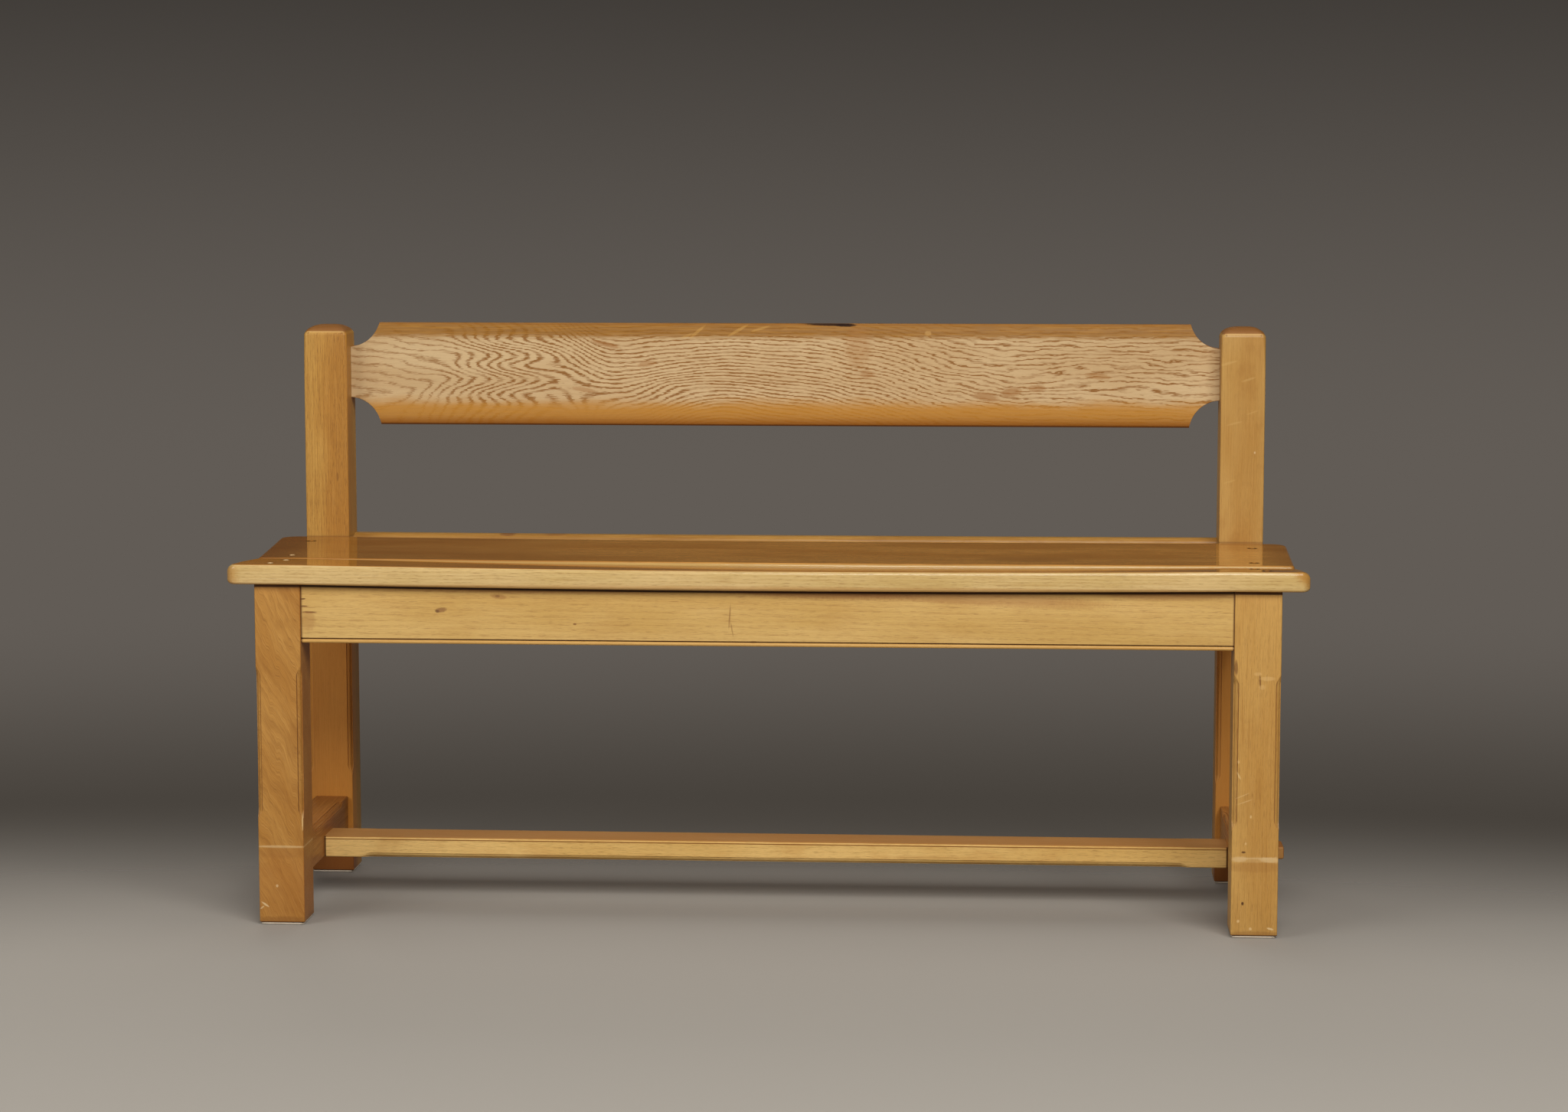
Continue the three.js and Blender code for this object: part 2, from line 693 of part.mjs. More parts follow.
// Finishes, as an amber varnish shows them on each timber
const finishes = {
  leg: { color: '#b48144', roughness: 0.36 },
  apron: { color: '#c69f5f', roughness: 0.36 },
  hidden: { color: '#8a5f30', roughness: 0.6 },
  rail: { color: '#bb9b72', roughness: 0.32 },
  seatFront: { color: '#ccad78', roughness: 0.3 },
  seatMain: { color: '#8a5d2d', roughness: 0.22 },
  stretcher: { color: '#bd9456', roughness: 0.4 },
  peg: { color: '#6d4320', roughness: 0.4 },
  felt: { color: '#c3b096', roughness: 0.95 },
};

const bench = new THREE.Group();

// Each piece is modelled where it stands, then given an origin of its own that places it.
function place(name, solid, finish, x, y, z) {
  const { vertProperties, triVerts } = solid.getMesh();
  const geometry = new THREE.BufferGeometry();
  geometry.setAttribute('position', new THREE.BufferAttribute(new Float32Array(vertProperties), 3));
  geometry.setIndex(new THREE.BufferAttribute(new Uint32Array(triVerts), 1));
  geometry.translate(-x, -y, -z);
  geometry.computeVertexNormals();
  const mesh = new THREE.Mesh(geometry, new THREE.MeshStandardMaterial({ metalness: 0, ...finishes[finish] }));
  mesh.name = name;
  mesh.position.set(x, y, z);
  bench.add(mesh);
}

const legMiddleX = outerFaceX - legSide / 2;
const legMiddleY = legFaceY + legSide / 2;
const postMiddleY = postFaceY + legSide / 2;

for (const [hand, side] of [['left', -1], ['right', 1]]) {
  const sideMiddleX = side * (sideStretcherInnerX + sideStretcherWidth / 2);
  place(`front_leg_${hand}`, frontLeg(side), 'leg', side * legMiddleX, legMiddleY, 0);
  place(`rear_post_${hand}`, rearPost(side), 'leg', side * legMiddleX, postMiddleY, 0);
  place(`end_apron_${hand}`, endApron(side), 'hidden', side * endApronMiddleX, legBackY, legTop);
  place(`side_stretcher_${hand}`, sideStretcher(side), 'stretcher', sideMiddleX, legBackY, sideStretcherBottom);
  place(`felt_pad_front_${hand}`, feltPad(side, legMiddleY), 'felt', side * legMiddleX, legMiddleY, 0);
  place(`felt_pad_rear_${hand}`, feltPad(side, postMiddleY), 'felt', side * legMiddleX, postMiddleY, 0);
  pegPlaces.forEach(([x, y, board], index) => {
    const rod = pegRod(side * x, y, pegRadius, legTop - pegDepth, seatUnderside + board);
    place(`seat_peg_${hand}_${index + 1}`, rod, 'peg', side * x, y, legTop);
  });
}

place('front_apron', frontApron(), 'apron', 0, frontApronYs[0], legTop);
place('rear_rail', rearRail(), 'stretcher', 0, rearRailYs[1], rearRailTop);
place('back_rail', backRail(), 'rail', 0, backRailYs[0], backRailBottom);
place('centre_stretcher', centreStretcher(), 'stretcher', 0, centreStretcherYs[0], sideStretcherBottom);
place('seat_bearer_left', seatBearer(bearerMiddles[0]), 'hidden', bearerMiddles[0], legBackY, legTop);
place('seat_bearer_right', seatBearer(bearerMiddles[1]), 'hidden', bearerMiddles[1], legBackY, legTop);
place('seat_front_board', seatFrontBoard(), 'seatFront', 0, seatFrontY, seatUnderside);
place('seat_main_board', seatMainBoard(), 'seatMain', 0, boardJointY, seatUnderside);

export default bench;
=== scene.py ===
import math

import bpy
import numpy as np
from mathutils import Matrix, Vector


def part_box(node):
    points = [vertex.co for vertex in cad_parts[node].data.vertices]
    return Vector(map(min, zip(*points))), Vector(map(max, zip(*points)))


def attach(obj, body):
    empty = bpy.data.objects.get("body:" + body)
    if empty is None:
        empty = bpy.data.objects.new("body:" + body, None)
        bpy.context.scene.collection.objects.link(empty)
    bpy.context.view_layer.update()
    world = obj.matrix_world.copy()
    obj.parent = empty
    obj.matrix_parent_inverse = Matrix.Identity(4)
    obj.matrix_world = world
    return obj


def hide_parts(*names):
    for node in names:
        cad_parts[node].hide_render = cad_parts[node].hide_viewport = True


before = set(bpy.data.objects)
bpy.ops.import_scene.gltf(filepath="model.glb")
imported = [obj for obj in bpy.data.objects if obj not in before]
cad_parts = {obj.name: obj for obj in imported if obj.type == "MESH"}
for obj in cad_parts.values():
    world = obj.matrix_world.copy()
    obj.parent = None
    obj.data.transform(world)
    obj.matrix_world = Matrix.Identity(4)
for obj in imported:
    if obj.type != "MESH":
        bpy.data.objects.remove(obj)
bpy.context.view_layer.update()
print("bench: frame loaded")

# Oak monks bench: joined frame, two seat boards, scalloped back rail. Metres, X along the bench,
# Y from front to back, Z up. Every finished piece sits at the origin with its place in its mesh.

mm = 0.001
sharpAngle = 40  # degrees between faces that stay a crisp edge
arcSteps = 7
plainRings = 9  # along a timber, besides the rings of its moulding and its ends
shoulderGap = 0.2 * mm  # between a rail's shoulder and the face that it meets
tiny = 1e-12


# Meshes

def pieceFrom(name, points, quads, caps=()):  # turns every face outwards by the sign of the volume
    fans = [np.stack([np.full(len(cap) - 2, cap[0]), cap[1:-1], cap[2:]], 1) for cap in caps]
    triangles = np.concatenate([quads[:, [0, 1, 2]], quads[:, [0, 2, 3]], *fans])
    a, b, c = (points[triangles[:, corner]] for corner in range(3))
    if np.einsum("ij,ij->", a, np.cross(b, c)) < 0:
        quads, caps = quads[:, ::-1], [cap[::-1] for cap in caps]
    mesh = bpy.data.meshes.new(name)
    mesh.from_pydata(points.tolist(), [], quads.tolist() + [cap.tolist() for cap in caps])
    mesh.validate()
    mesh.shade_smooth()
    mesh.set_sharp_from_angle(angle=math.radians(sharpAngle))
    piece = bpy.data.objects.new(name, mesh)
    bpy.context.scene.collection.objects.link(piece)
    return piece


def skin(name, rings):  # ring after ring of equal length joined by quads, one face over each end
    count, size = rings.shape[:2]
    here = np.arange(count * size).reshape(count, size)
    beside = np.roll(here, -1, 1)
    quads = np.stack([here[:-1], beside[:-1], beside[1:], here[1:]], -1).reshape(-1, 4)
    return pieceFrom(name, rings.reshape(-1, 3), quads, [here[0][::-1], here[-1]])


def smooth(share):  # 3t^2 - 2t^3, level at both ends
    share = np.clip(share, 0, 1)
    return share * share * (3 - 2 * share)


def quarterArc(count=arcSteps):  # equal steps through a quarter turn
    return np.linspace(0, math.pi / 2, count)


def distinct(*places):  # sorted, and rounded so that no two lie within a tenth of a micrometre
    return np.unique(np.round(np.concatenate(places), 7))


def facing(across, upward, along, axis):  # section coordinates and a place along the axis to X, Y, Z
    across, upward, along = np.broadcast_arrays(across, upward, along)
    order = {"x": (along, across, upward), "y": (across, along, upward), "z": (across, upward, along)}
    return np.stack(order[axis], -1)


# Square timbers: four softened corners, some with a quirked ovolo that runs out in lamb's tongues

moulding = {
    "width": 6.5 * mm,
    "quirk": 1.3 * mm,
    "run": 18 * mm,    # length of a lamb's tongue
    "steps": 17,       # rings along a lamb's tongue
    "beyond": 1 * mm,  # from the moulding's ends to the nearest plain rings
    "reach": 9 * mm,   # a corner's own zone, from each of its two faces
    "support": 0.7 * mm,
    "crisp": 2e-4,     # radians between the two points that hold an edge
    "onset": 5,        # how fast a corner's points leave the plain edge for the moulding
}


def cornerAngles(points, reach):  # directions from the zone's inner point to points (u, v) near the corner
    return np.arctan2(reach - points[..., 0], reach - points[..., 1])


def halfAngles(size, quirk, rows, reach):
    # the first half of a corner's outline: face, support, edge of the cut, then round to the middle
    turn = np.linspace(0, math.pi / 4, arcSteps)
    core = size - quirk
    arc = np.stack([size - core * np.sin(turn), size - core * np.cos(turn)], -1)
    edge = np.stack([size, np.zeros_like(size)], -1)
    outer = edge + np.array([moulding["support"], 0])
    shown = cornerAngles(np.concatenate([outer, edge, edge, arc], 1), reach)
    shown[:, 1] -= moulding["crisp"]
    shown[:, 2] += moulding["crisp"]
    return np.concatenate([np.zeros((rows, 1)), shown], 1)


def cornerOutline(radius, share, reach):
    # distance from the zone's inner point to the timber's skin: the nearer of the softened edge
    # and the moulding scaled by its share, each met by a ray
    rows = len(share)
    radius, share = radius[:, None], share[:, None]
    size, quirk = moulding["width"] * share, moulding["quirk"] * share
    plain = halfAngles(radius, np.zeros_like(radius), rows, reach)
    cut = halfAngles(size, quirk, rows, reach)
    half = plain + (cut - plain) * smooth(share * moulding["onset"])
    angle = np.concatenate([half, math.pi / 2 - half[:, ::-1]], 1)
    du, dv = -np.sin(angle), -np.cos(angle)
    flat = reach / np.maximum(-du, -dv)

    def toArc(centre, circle):  # length of the ray to a circle about the point (centre, centre)
        away = reach - centre
        middle = -away * (du + dv)
        return middle + np.sqrt(np.maximum(middle ** 2 - 2 * away ** 2 + circle ** 2, 0))

    exitU, exitV = reach + flat * du, reach + flat * dv
    edge = np.where((exitU < radius) & (exitV < radius), toArc(radius, radius), flat)
    entry = (reach - size) / np.maximum(np.minimum(-du, -dv), tiny)
    entryU, entryV = reach + entry * du, reach + entry * dv
    inside = (entryU - size) ** 2 + (entryV - size) ** 2 <= (size - quirk) ** 2 + tiny
    carved = np.where(inside, toArc(size, size - quirk), entry)
    carved = np.where((exitU < size) & (exitV < size), carved, flat)
    length = np.minimum(edge, carved)
    return reach + length * du, reach + length * dv


def section(lowA, highA, lowB, highB, radii, shares, reach):
    # rings of a rectangle in (a, b), counter-clockwise from its lower right corner
    corners = [(highA, lowB, (1, 0), (0, 1)), (highA, highB, (0, 1), (-1, 0)),
               (lowA, highB, (-1, 0), (0, -1)), (lowA, lowB, (0, -1), (1, 0))]
    sideA, sideB = [], []
    for (a, b, come, leave), radius, share in zip(corners, radii, shares):
        u, v = cornerOutline(radius, share, reach)
        sideA.append(a[:, None] - u * come[0] + v * leave[0])
        sideB.append(b[:, None] - u * come[1] + v * leave[1])
    return np.concatenate(sideA, 1), np.concatenate(sideB, 1)


def mouldingRings(stops):  # places along both lamb's tongues, and a plain one beyond each
    steps, beyond = np.linspace(0, moulding["run"], moulding["steps"]), moulding["beyond"]
    return [stops[0] + steps, stops[1] - steps, [stops[0] - beyond, stops[1] + beyond]]


def mouldingShare(along, stops):  # grows from 0 at the stops to 1 where the tongues end
    return smooth(np.minimum(along - stops[0], stops[1] - along) / moulding["run"])


def endInset(radius, fromEnd):  # how far a softened end draws the sides in, by a quarter circle
    rest = np.clip(radius - fromEnd, 0, None)
    return radius - np.sqrt(np.maximum(radius ** 2 - rest ** 2, 0))


def timber(name, axis, ends, spanA, spanB, radii, cornerShares=(0, 0, 0, 0), stops=None,
           endRadius=0.0, reach=moulding["reach"], drop=None):
    # a straight piece along one axis; stops are where its moulding starts and ends
    low, high = ends
    soften = endRadius * (1 - np.cos(quarterArc()))
    plain = np.linspace(low + endRadius, high - endRadius, plainRings)
    along = distinct(low + soften, high - soften, plain, *(mouldingRings(stops) if stops else []))
    inset = endInset(endRadius, np.minimum(along - low, high - along))
    share = mouldingShare(along, stops) if stops else np.zeros_like(along)
    a0, a1, b0, b1 = (np.full_like(along, side) for side in (*spanA, *spanB))
    rounds = [np.full_like(along, radius) for radius in radii]
    sideA, sideB = section(a0 + inset, a1 - inset, b0 + inset, b1 - inset, rounds,
                           [share * on for on in cornerShares], reach)
    if drop:
        sideB = sideB - drop(along)[:, None]
    return skin(name, facing(sideA, sideB, along[:, None], axis))


def spans(node):  # the node's range along X, Y and Z
    low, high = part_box(node)
    return [(low[k], high[k]) for k in range(3)]


made = {}  # every finished piece by name


def keep(piece, node):
    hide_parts(node)
    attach(piece, "root")
    made[piece.name] = piece
    return piece


# Legs and posts: the two front corners are moulded, and the posts end in a pillow

leg = {
    "arris": 1.7 * mm,
    "topArris": 5.0 * mm,     # the post's corners grow rounder towards the top
    "topFade": 60 * mm,       # over this height
    "leastArris": 0.02 * mm,  # on the pillow's innermost ring
    "footArris": 1.6 * mm,
    "mouldingRise": 27 * mm,  # above the side stretchers
    "mouldingDrop": 26 * mm,  # below the aprons
    "backRise": 20 * mm,      # above the moulding, where the plain rings start
    "backRings": 12,
    "pillowRise": 9 * mm,
    "pillowPower": 3.6,
    "pillowRings": 24,
    "pillowShare": 0.97,      # how far in the last ring lies
    "pillowOnset": 2,         # how soon the pillow swells on the rim
    "pillowEase": 1.6,        # how late its corners sharpen inwards
}


def legStops():
    low = spans("side_stretcher_left")[2][1] + leg["mouldingRise"]
    return low, spans("front_apron")[2][0] - leg["mouldingDrop"]


def frontLeg(name, node):
    xs, ys, zs = spans(node)
    return timber(name, "z", zs, xs, ys, [leg["arris"]] * 4, (1, 0, 0, 1), legStops(), leg["footArris"])


def pillowHeight(shareX, shareY):  # (1 - |x|^p)(1 - |y|^p), full at the shoulders
    power = leg["pillowPower"]
    return np.clip((1 - np.abs(shareX) ** power) * (1 - np.abs(shareY) ** power), 0, None)


def rearPost(name, node):
    # rings up the post, over its softened rim and in to the middle of the pillow
    xs, ys, zs = spans(node)
    half, shoulder = (xs[1] - xs[0]) / 2, zs[1] - leg["pillowRise"]
    stops, rim, foot, rings = legStops(), leg["topArris"], leg["footArris"], leg["pillowRings"]
    turn = quarterArc(arcSteps + 2)
    straight = distinct(zs[0] + foot * (1 - np.cos(turn)), *mouldingRings(stops),
                        np.linspace(stops[1] + leg["backRise"], shoulder - rim, leg["backRings"]))
    inward = rim + (half - rim) * np.linspace(0, leg["pillowShare"], rings)[1:]
    inset = np.concatenate([endInset(foot, straight - zs[0]), rim * (1 - np.cos(turn[1:])), inward])
    level = np.concatenate([straight, shoulder - rim + rim * np.sin(turn[1:]), np.full(rings - 1, shoulder)])
    share = mouldingShare(level, stops)
    shrink = 1 - inset / half
    worn = smooth((level - shoulder + leg["topFade"]) / leg["topFade"])
    radius = leg["arris"] + (rim - leg["arris"]) * worn
    radius = np.maximum(radius * np.minimum(shrink * leg["pillowEase"], 1), leg["leastArris"])
    full = [np.full_like(level, side) for side in (*xs, *ys)]
    sideX, sideY = section(*full, [radius] * 4, [share, share * 0, share * 0, share], moulding["reach"])
    middleX, middleY = sum(xs) / 2, sum(ys) / 2
    sideX = middleX + (sideX - middleX) * shrink[:, None]
    sideY = middleY + (sideY - middleY) * shrink[:, None]
    swell = pillowHeight((sideX - middleX) / half, (sideY - middleY) / half)
    onTop = (np.arange(len(level)) >= len(straight))[:, None]
    swell = swell * smooth((inset / rim)[:, None] * leg["pillowOnset"])
    heights = level[:, None] + np.where(onTop, leg["pillowRise"] * swell, 0)
    return skin(name, np.stack([sideX, sideY, heights], -1))


# Seat boards: a grid over the top and the underside, joined by rings round the softened edges

seat = {
    "frontCorner": 12 * mm,
    "frontFlat": 6 * mm,
    "flatEnd": 14 * mm,
    "jointCorner": 7 * mm,
    "rearCorner": 24 * mm,
    "waistInset": {"left": 25 * mm, "right": 14 * mm},  # the two ends were drawn in by eye
    "rearInset": {"left": 0.6 * mm, "right": 4 * mm},
    "frontArris": (5 * mm, 4 * mm),  # top, underside
    "frontEndArris": (10 * mm, 6 * mm),
    "mainArris": (4.6 * mm, 3 * mm),
    "mainEndArris": (4 * mm, 3 * mm),
    "wornEnd": 22 * mm,  # how far back the front board's worn ends reach
    "sag": 3.6 * mm,     # both boards have settled in the middle
    "sagHalf": 0.6,
    "tilt": (1.7 * mm, 1.9 * mm),  # fall of the front board's top to the joint: middle, gain to the right
    "tiltBow": 1.0 * mm,
    "mainDrop": (1.4 * mm, 0.8 * mm, 1.7 * mm),  # the main board's top: all along, gain to the right, bow
    "cup": 0.3 * mm,
    "jointGap": 0.4 * mm,
    "columns": 110,
    "columnEase": 1.48,    # radians of the sine that crowds the columns at the ends
    "cornerSteps": 13,
    "frontRows": (3, 12),  # along the straight runs of the front board's end
    "mainRows": (30,),
}


def bow(x, half):  # parabola: 1 in the middle, 0 from the given half length outwards
    return np.clip(1 - (x / half) ** 2, 0, None)


def sagAt(x):  # level of the boards' undersides
    return -seat["sag"] * bow(x, seat["sagHalf"])


def topDrop(x, y, ys, isFront):  # level of a board's top against its drawn level
    share = (y - ys[0]) / (ys[1] - ys[0])
    cup = seat["cup"] * np.clip(1 - (2 * share - 1) ** 2, 0, None)
    side = x / spans("seat_front_board")[0][1]
    if isFront:
        tilt = seat["tilt"][0] + seat["tilt"][1] * side + seat["tiltBow"] * bow(x, seat["sagHalf"])
        return sagAt(x) - tilt * share - cup
    drop = seat["mainDrop"]
    return -drop[0] - drop[1] * side - drop[2] * bow(x, seat["sagHalf"]) - cup


def boardEnd(corners, before, after, between):
    # outline of a board's right end from front to back with its outward normals: an arc at each
    # corner, tangent to both of its edges, and straight runs between the arcs
    points, normals = [], []
    stations = [before, *[corner[:2] for corner in corners], after]
    for index, (x, y, radius) in enumerate(corners):
        here = np.array([x, y])
        back = np.array(stations[index]) - here
        ahead = np.array(stations[index + 2]) - here
        back, ahead = back / np.linalg.norm(back), ahead / np.linalg.norm(ahead)
        half = math.acos(np.clip(back @ ahead, -1, 1)) / 2
        middle = (back + ahead) / np.linalg.norm(back + ahead)
        centre = here + middle * radius / math.sin(half)
        first, last = np.array([back[1], -back[0]]), np.array([-ahead[1], ahead[0]])
        first *= np.sign(first @ (here - centre))
        last *= np.sign(last @ (here - centre))
        start = math.atan2(first[1], first[0])
        sweep = (math.atan2(last[1], last[0]) - start + math.pi) % (2 * math.pi) - math.pi
        turn = start + sweep * np.linspace(0, 1, seat["cornerSteps"])
        normal = np.stack([np.cos(turn), np.sin(turn)], -1)
        arc = centre + radius * normal
        if points:
            share = np.linspace(0, 1, between[index - 1] + 2)[1:-1, None]
            points.append(points[-1][-1] + (arc[0] - points[-1][-1]) * share)
            normals.append(np.repeat(normal[:1], between[index - 1], 0))
        points.append(arc)
        normals.append(normal)
    return np.concatenate(points), np.concatenate(normals)


def board(name, node, ends, arris, endArris, worn, isFront):
    # ends: outline and normals of the left and right ends; rows run between them point by point
    zs = spans(node)[2]
    ys = ends[0][0][0, 1], ends[0][0][-1, 1]
    ease = seat["columnEase"]
    share = (1 + np.sin(np.linspace(-1, 1, seat["columns"]) * ease) / math.sin(ease)) / 2

    def radiusAt(outline, normal, level):
        reach = 1 - smooth((outline[..., 1] - ys[0] - worn) / worn) if worn else 1
        return arris[level] + (endArris[level] - arris[level]) * smooth(np.abs(normal[..., 0])) * reach

    def rows(left, right):
        return left[:, None] + (right - left)[:, None] * share[:, None]

    (leftLine, leftNormal), (rightLine, rightNormal) = ends
    count, columns = len(leftLine), len(share)
    here = np.arange(count * columns).reshape(count, columns)
    rim = np.concatenate([here[0, :-1], here[:-1, -1], here[-1, :0:-1], here[:0:-1, 0]])
    outline = rows(leftLine, rightLine).reshape(-1, 2)[rim]
    normal = np.zeros((count, columns, 2))
    normal[0, :, 1], normal[-1, :, 1] = -1, 1
    normal[:, 0], normal[:, -1] = leftNormal, rightNormal
    normal = normal.reshape(-1, 2)[rim]
    rounds = [radiusAt(outline, normal, level)[:, None] for level in (0, 1)]
    grids = []
    for level in (0, 1):
        inset = [line - radiusAt(line, turn, level)[:, None] * turn for line, turn in ends]
        flat = rows(*inset).reshape(-1, 2)
        grids.append(np.concatenate([flat, np.full((len(flat), 1), zs[1 - level])], 1))
    turn = quarterArc(arcSteps + 1)[1:]

    def softRing(level, angle):  # on the rounded edge of the top (0) or the underside (1)
        back, fall = rounds[level] * (1 - math.sin(angle)), rounds[level] * (1 - math.cos(angle))
        return np.concatenate([outline - back * normal, zs[0] + fall if level else zs[1] - fall], 1)

    rings = [softRing(0, angle) for angle in turn] + [softRing(1, angle) for angle in turn[::-1]]
    points = np.concatenate([grids[0], *rings, grids[1]])
    x, y, z = points.T
    high = (z - zs[0]) / (zs[1] - zs[0])
    points[:, 2] += topDrop(x, y, ys, isFront) * high + sagAt(x) * (1 - high)
    cells = np.stack([here[:-1, :-1], here[:-1, 1:], here[1:, 1:], here[1:, :-1]], -1).reshape(-1, 4)
    under = count * columns + len(rings) * len(rim)
    around = count * columns + np.arange(len(rings) * len(rim)).reshape(-1, len(rim))
    loops = np.concatenate([rim[None], around, rim[None] + under])
    beside = np.roll(loops, -1, 1)
    sides = np.stack([loops[1:], beside[1:], beside[:-1], loops[:-1]], -1).reshape(-1, 4)
    return pieceFrom(name, points, np.concatenate([cells, sides, cells[:, ::-1] + under]))


def boardEnds(cornersFor, before, after, between):
    ends = []
    for hand in ("left", "right"):
        line, normal = boardEnd(cornersFor(hand), before, after, between)
        side = np.array([-1 if hand == "left" else 1, 1])
        ends.append((line * side, normal * side))
    return ends


def seatBoards():
    xs, (front, back), _ = spans("seat_front_board")
    half = xs[1]
    flat = front + seat["frontCorner"] + seat["frontFlat"]
    joint, rear = back + seat["jointGap"], spans("seat_main_board")[1][1]

    def frontCorners(hand):
        waist = half - seat["waistInset"][hand]
        return [(half, front, seat["frontCorner"]), (half, flat, seat["flatEnd"]),
                (waist, back, seat["jointCorner"])]

    def mainCorners(hand):
        waist, wide = half - seat["waistInset"][hand], half - seat["rearInset"][hand]
        return [(waist, joint, seat["jointCorner"]), (wide, rear, seat["rearCorner"])]

    piece = board("seatFront", "seat_front_board",
                  boardEnds(frontCorners, (0, front), (0, back), seat["frontRows"]),
                  seat["frontArris"], seat["frontEndArris"], seat["wornEnd"], True)
    keep(piece, "seat_front_board")
    piece = board("seatMain", "seat_main_board",
                  boardEnds(mainCorners, (0, joint), (0, rear), seat["mainRows"]),
                  seat["mainArris"], seat["mainEndArris"], 0, False)
    keep(piece, "seat_main_board")


# Aprons: a bead and its quirk along the lower edge, the top fitted under the settled seat

apron = {
    "bead": 2.6 * mm,
    "quirkWide": 1.6 * mm,
    "quirkDeep": 2.2 * mm,
    "arris": 1 * mm,
    "arrisShare": 0.3,  # of the arris, where its middle point lies
    "support": 0.7 * mm,
    "columns": 41,
}


def apronRings(face, inner, bottom, tops):
    # pairs of a depth and a height: from the bottom for the bead, the quirk and the inner foot, and
    # down from the top, which follows the boards, between them
    out = np.sign(face - inner)
    radius, arris, support = apron["bead"], apron["arris"], apron["support"]
    turn = np.linspace(-math.pi / 2, math.pi / 2, 2 * arcSteps)
    deep, back = face - out * apron["quirkDeep"], inner + out * arris
    groove = 2 * radius + apron["quirkWide"]
    bead = list(zip(face - out * radius * (1 - np.cos(turn)), radius * (1 + np.sin(turn))))
    bead += [(deep, 2 * radius), (deep, groove), (face, groove), (face, groove + support)]
    part = apron["arrisShare"] * arris
    top = [(face, 2 * arris), (face - out * part, part), (face - out * arris, 0), (inner, 0), (inner, 0)]
    foot = [(inner, 2 * arris), (inner, arris), (back, 0), (back + out * support, 0)]
    depths, levels = np.array(bead + top + foot).T
    low, high = np.full((len(tops), 1), bottom), tops[:, None]
    first, last = len(bead), len(bead) + len(top)
    heights = np.concatenate([low + levels[:first], high - levels[first:last], low + levels[last:]], 1)
    return np.broadcast_to(depths, heights.shape), heights


def frontApron():
    _, ys, zs = spans("front_apron")
    reach = spans("front_leg_right")[0][0] - shoulderGap
    along = np.linspace(-reach, reach, apron["columns"])
    sides, heights = apronRings(ys[0], ys[1], zs[0], zs[1] + sagAt(along))
    keep(skin("apronFront", facing(sides, heights, along[:, None], "x")), "front_apron")


def betweenLegs():  # the clear range from the front legs to the posts
    return spans("front_leg_left")[1][1] + shoulderGap, spans("rear_post_left")[1][0] - shoulderGap


def endApron(hand, side):
    node = f"end_apron_{hand}"
    xs, _, zs = spans(node)
    along = np.linspace(*betweenLegs(), plainRings)
    sides, heights = apronRings(*xs[::-side], zs[0], np.full_like(along, zs[1]))
    keep(skin(f"apronEnd{hand.title()}", facing(sides, heights, along[:, None], "y")), node)


# Back rail: scooped corners, a pale flat field and two bands that fall back from it

rail = {
    "bandTop": 23 * mm,
    "bandBottom": 34 * mm,
    "fall": 8 * mm,
    "rearRound": 6 * mm,
    "scoop": 43 * mm,
    "scoopOut": 2 * mm,
    "neckTop": 33 * mm,
    "neckBottom": 38 * mm,
    "edge": 0.9 * mm,   # softening of the sawn edges
    "edgeSteps": 4,
    "fieldSteps": 32,
    "scoopSteps": 40,
    "plainSteps": 24,
}


def scoopedEdge(x, reach, drop, height, up):
    # level of an edge: straight, then the circle that scoops the corner
    centre = height - up * (drop - rail["scoop"])
    away = np.clip(rail["scoop"] ** 2 - (reach + rail["scoopOut"] - np.abs(x)) ** 2, 0, None)
    scooped = centre - up * np.sqrt(away)
    return np.where(away > 0, np.minimum(up * scooped, up * height) * up, height)


def bandFall(z, low, high):  # two quarter ellipses, flat between them
    above = np.clip((z - (high - rail["bandTop"])) / rail["bandTop"], 0, 1)
    below = np.clip(((low + rail["bandBottom"]) - z) / rail["bandBottom"], 0, 1)
    return rail["fall"] * (1 - np.sqrt(1 - above ** 2) + 1 - np.sqrt(1 - below ** 2))


def backRail():
    _, ys, (low, high) = spans("back_rail")
    reach = spans("rear_post_right")[0][0] - shoulderGap
    scoops = reach + rail["scoopOut"] - rail["scoop"] * np.sin(quarterArc(rail["scoopSteps"]))
    scoops = scoops[scoops <= reach]
    half = distinct(scoops, [reach], np.linspace(0, scoops.min(), rail["plainSteps"]))
    along = np.concatenate([-half[:0:-1], half])
    bottom = scoopedEdge(along, reach, rail["neckBottom"], low, -1)[:, None]
    top = scoopedEdge(along, reach, rail["neckTop"], high, 1)[:, None]
    edge, soft = rail["edge"], rail["rearRound"]
    fieldShare = (1 - np.cos(np.linspace(0, math.pi, rail["fieldSteps"]))) / 2
    front = bottom + edge + (top - bottom - 2 * edge) * fieldShare
    frontDepth = ys[0] + bandFall(front, low, high)
    over, under = quarterArc(rail["edgeSteps"])[1:], quarterArc(rail["edgeSteps"])[:0:-1]
    upZ, downZ = top - edge + edge * np.sin(over), bottom + edge - edge * np.sin(under)
    upY = frontDepth[:, -1:] + edge * (1 - np.cos(over))
    downY = frontDepth[:, :1] + edge * (1 - np.cos(under))
    rear = quarterArc()
    backUpZ = np.minimum(top, high - soft * (1 - np.cos(rear)))
    backUpY = ys[1] - soft * (1 - np.sin(rear)) + 0 * top
    backDownZ = np.maximum(bottom, low + soft * (1 - np.cos(rear[::-1])))
    backDownY = ys[1] - soft * (1 - np.sin(rear[::-1])) + 0 * bottom
    heights = np.concatenate([downZ, front, upZ, backUpZ, backDownZ], 1)
    depths = np.concatenate([downY, frontDepth, upY, backUpY, backDownY], 1)
    keep(skin("backRail", facing(depths, heights, along[:, None], "x")), "back_rail")


# Rear rail, stretchers and bearers

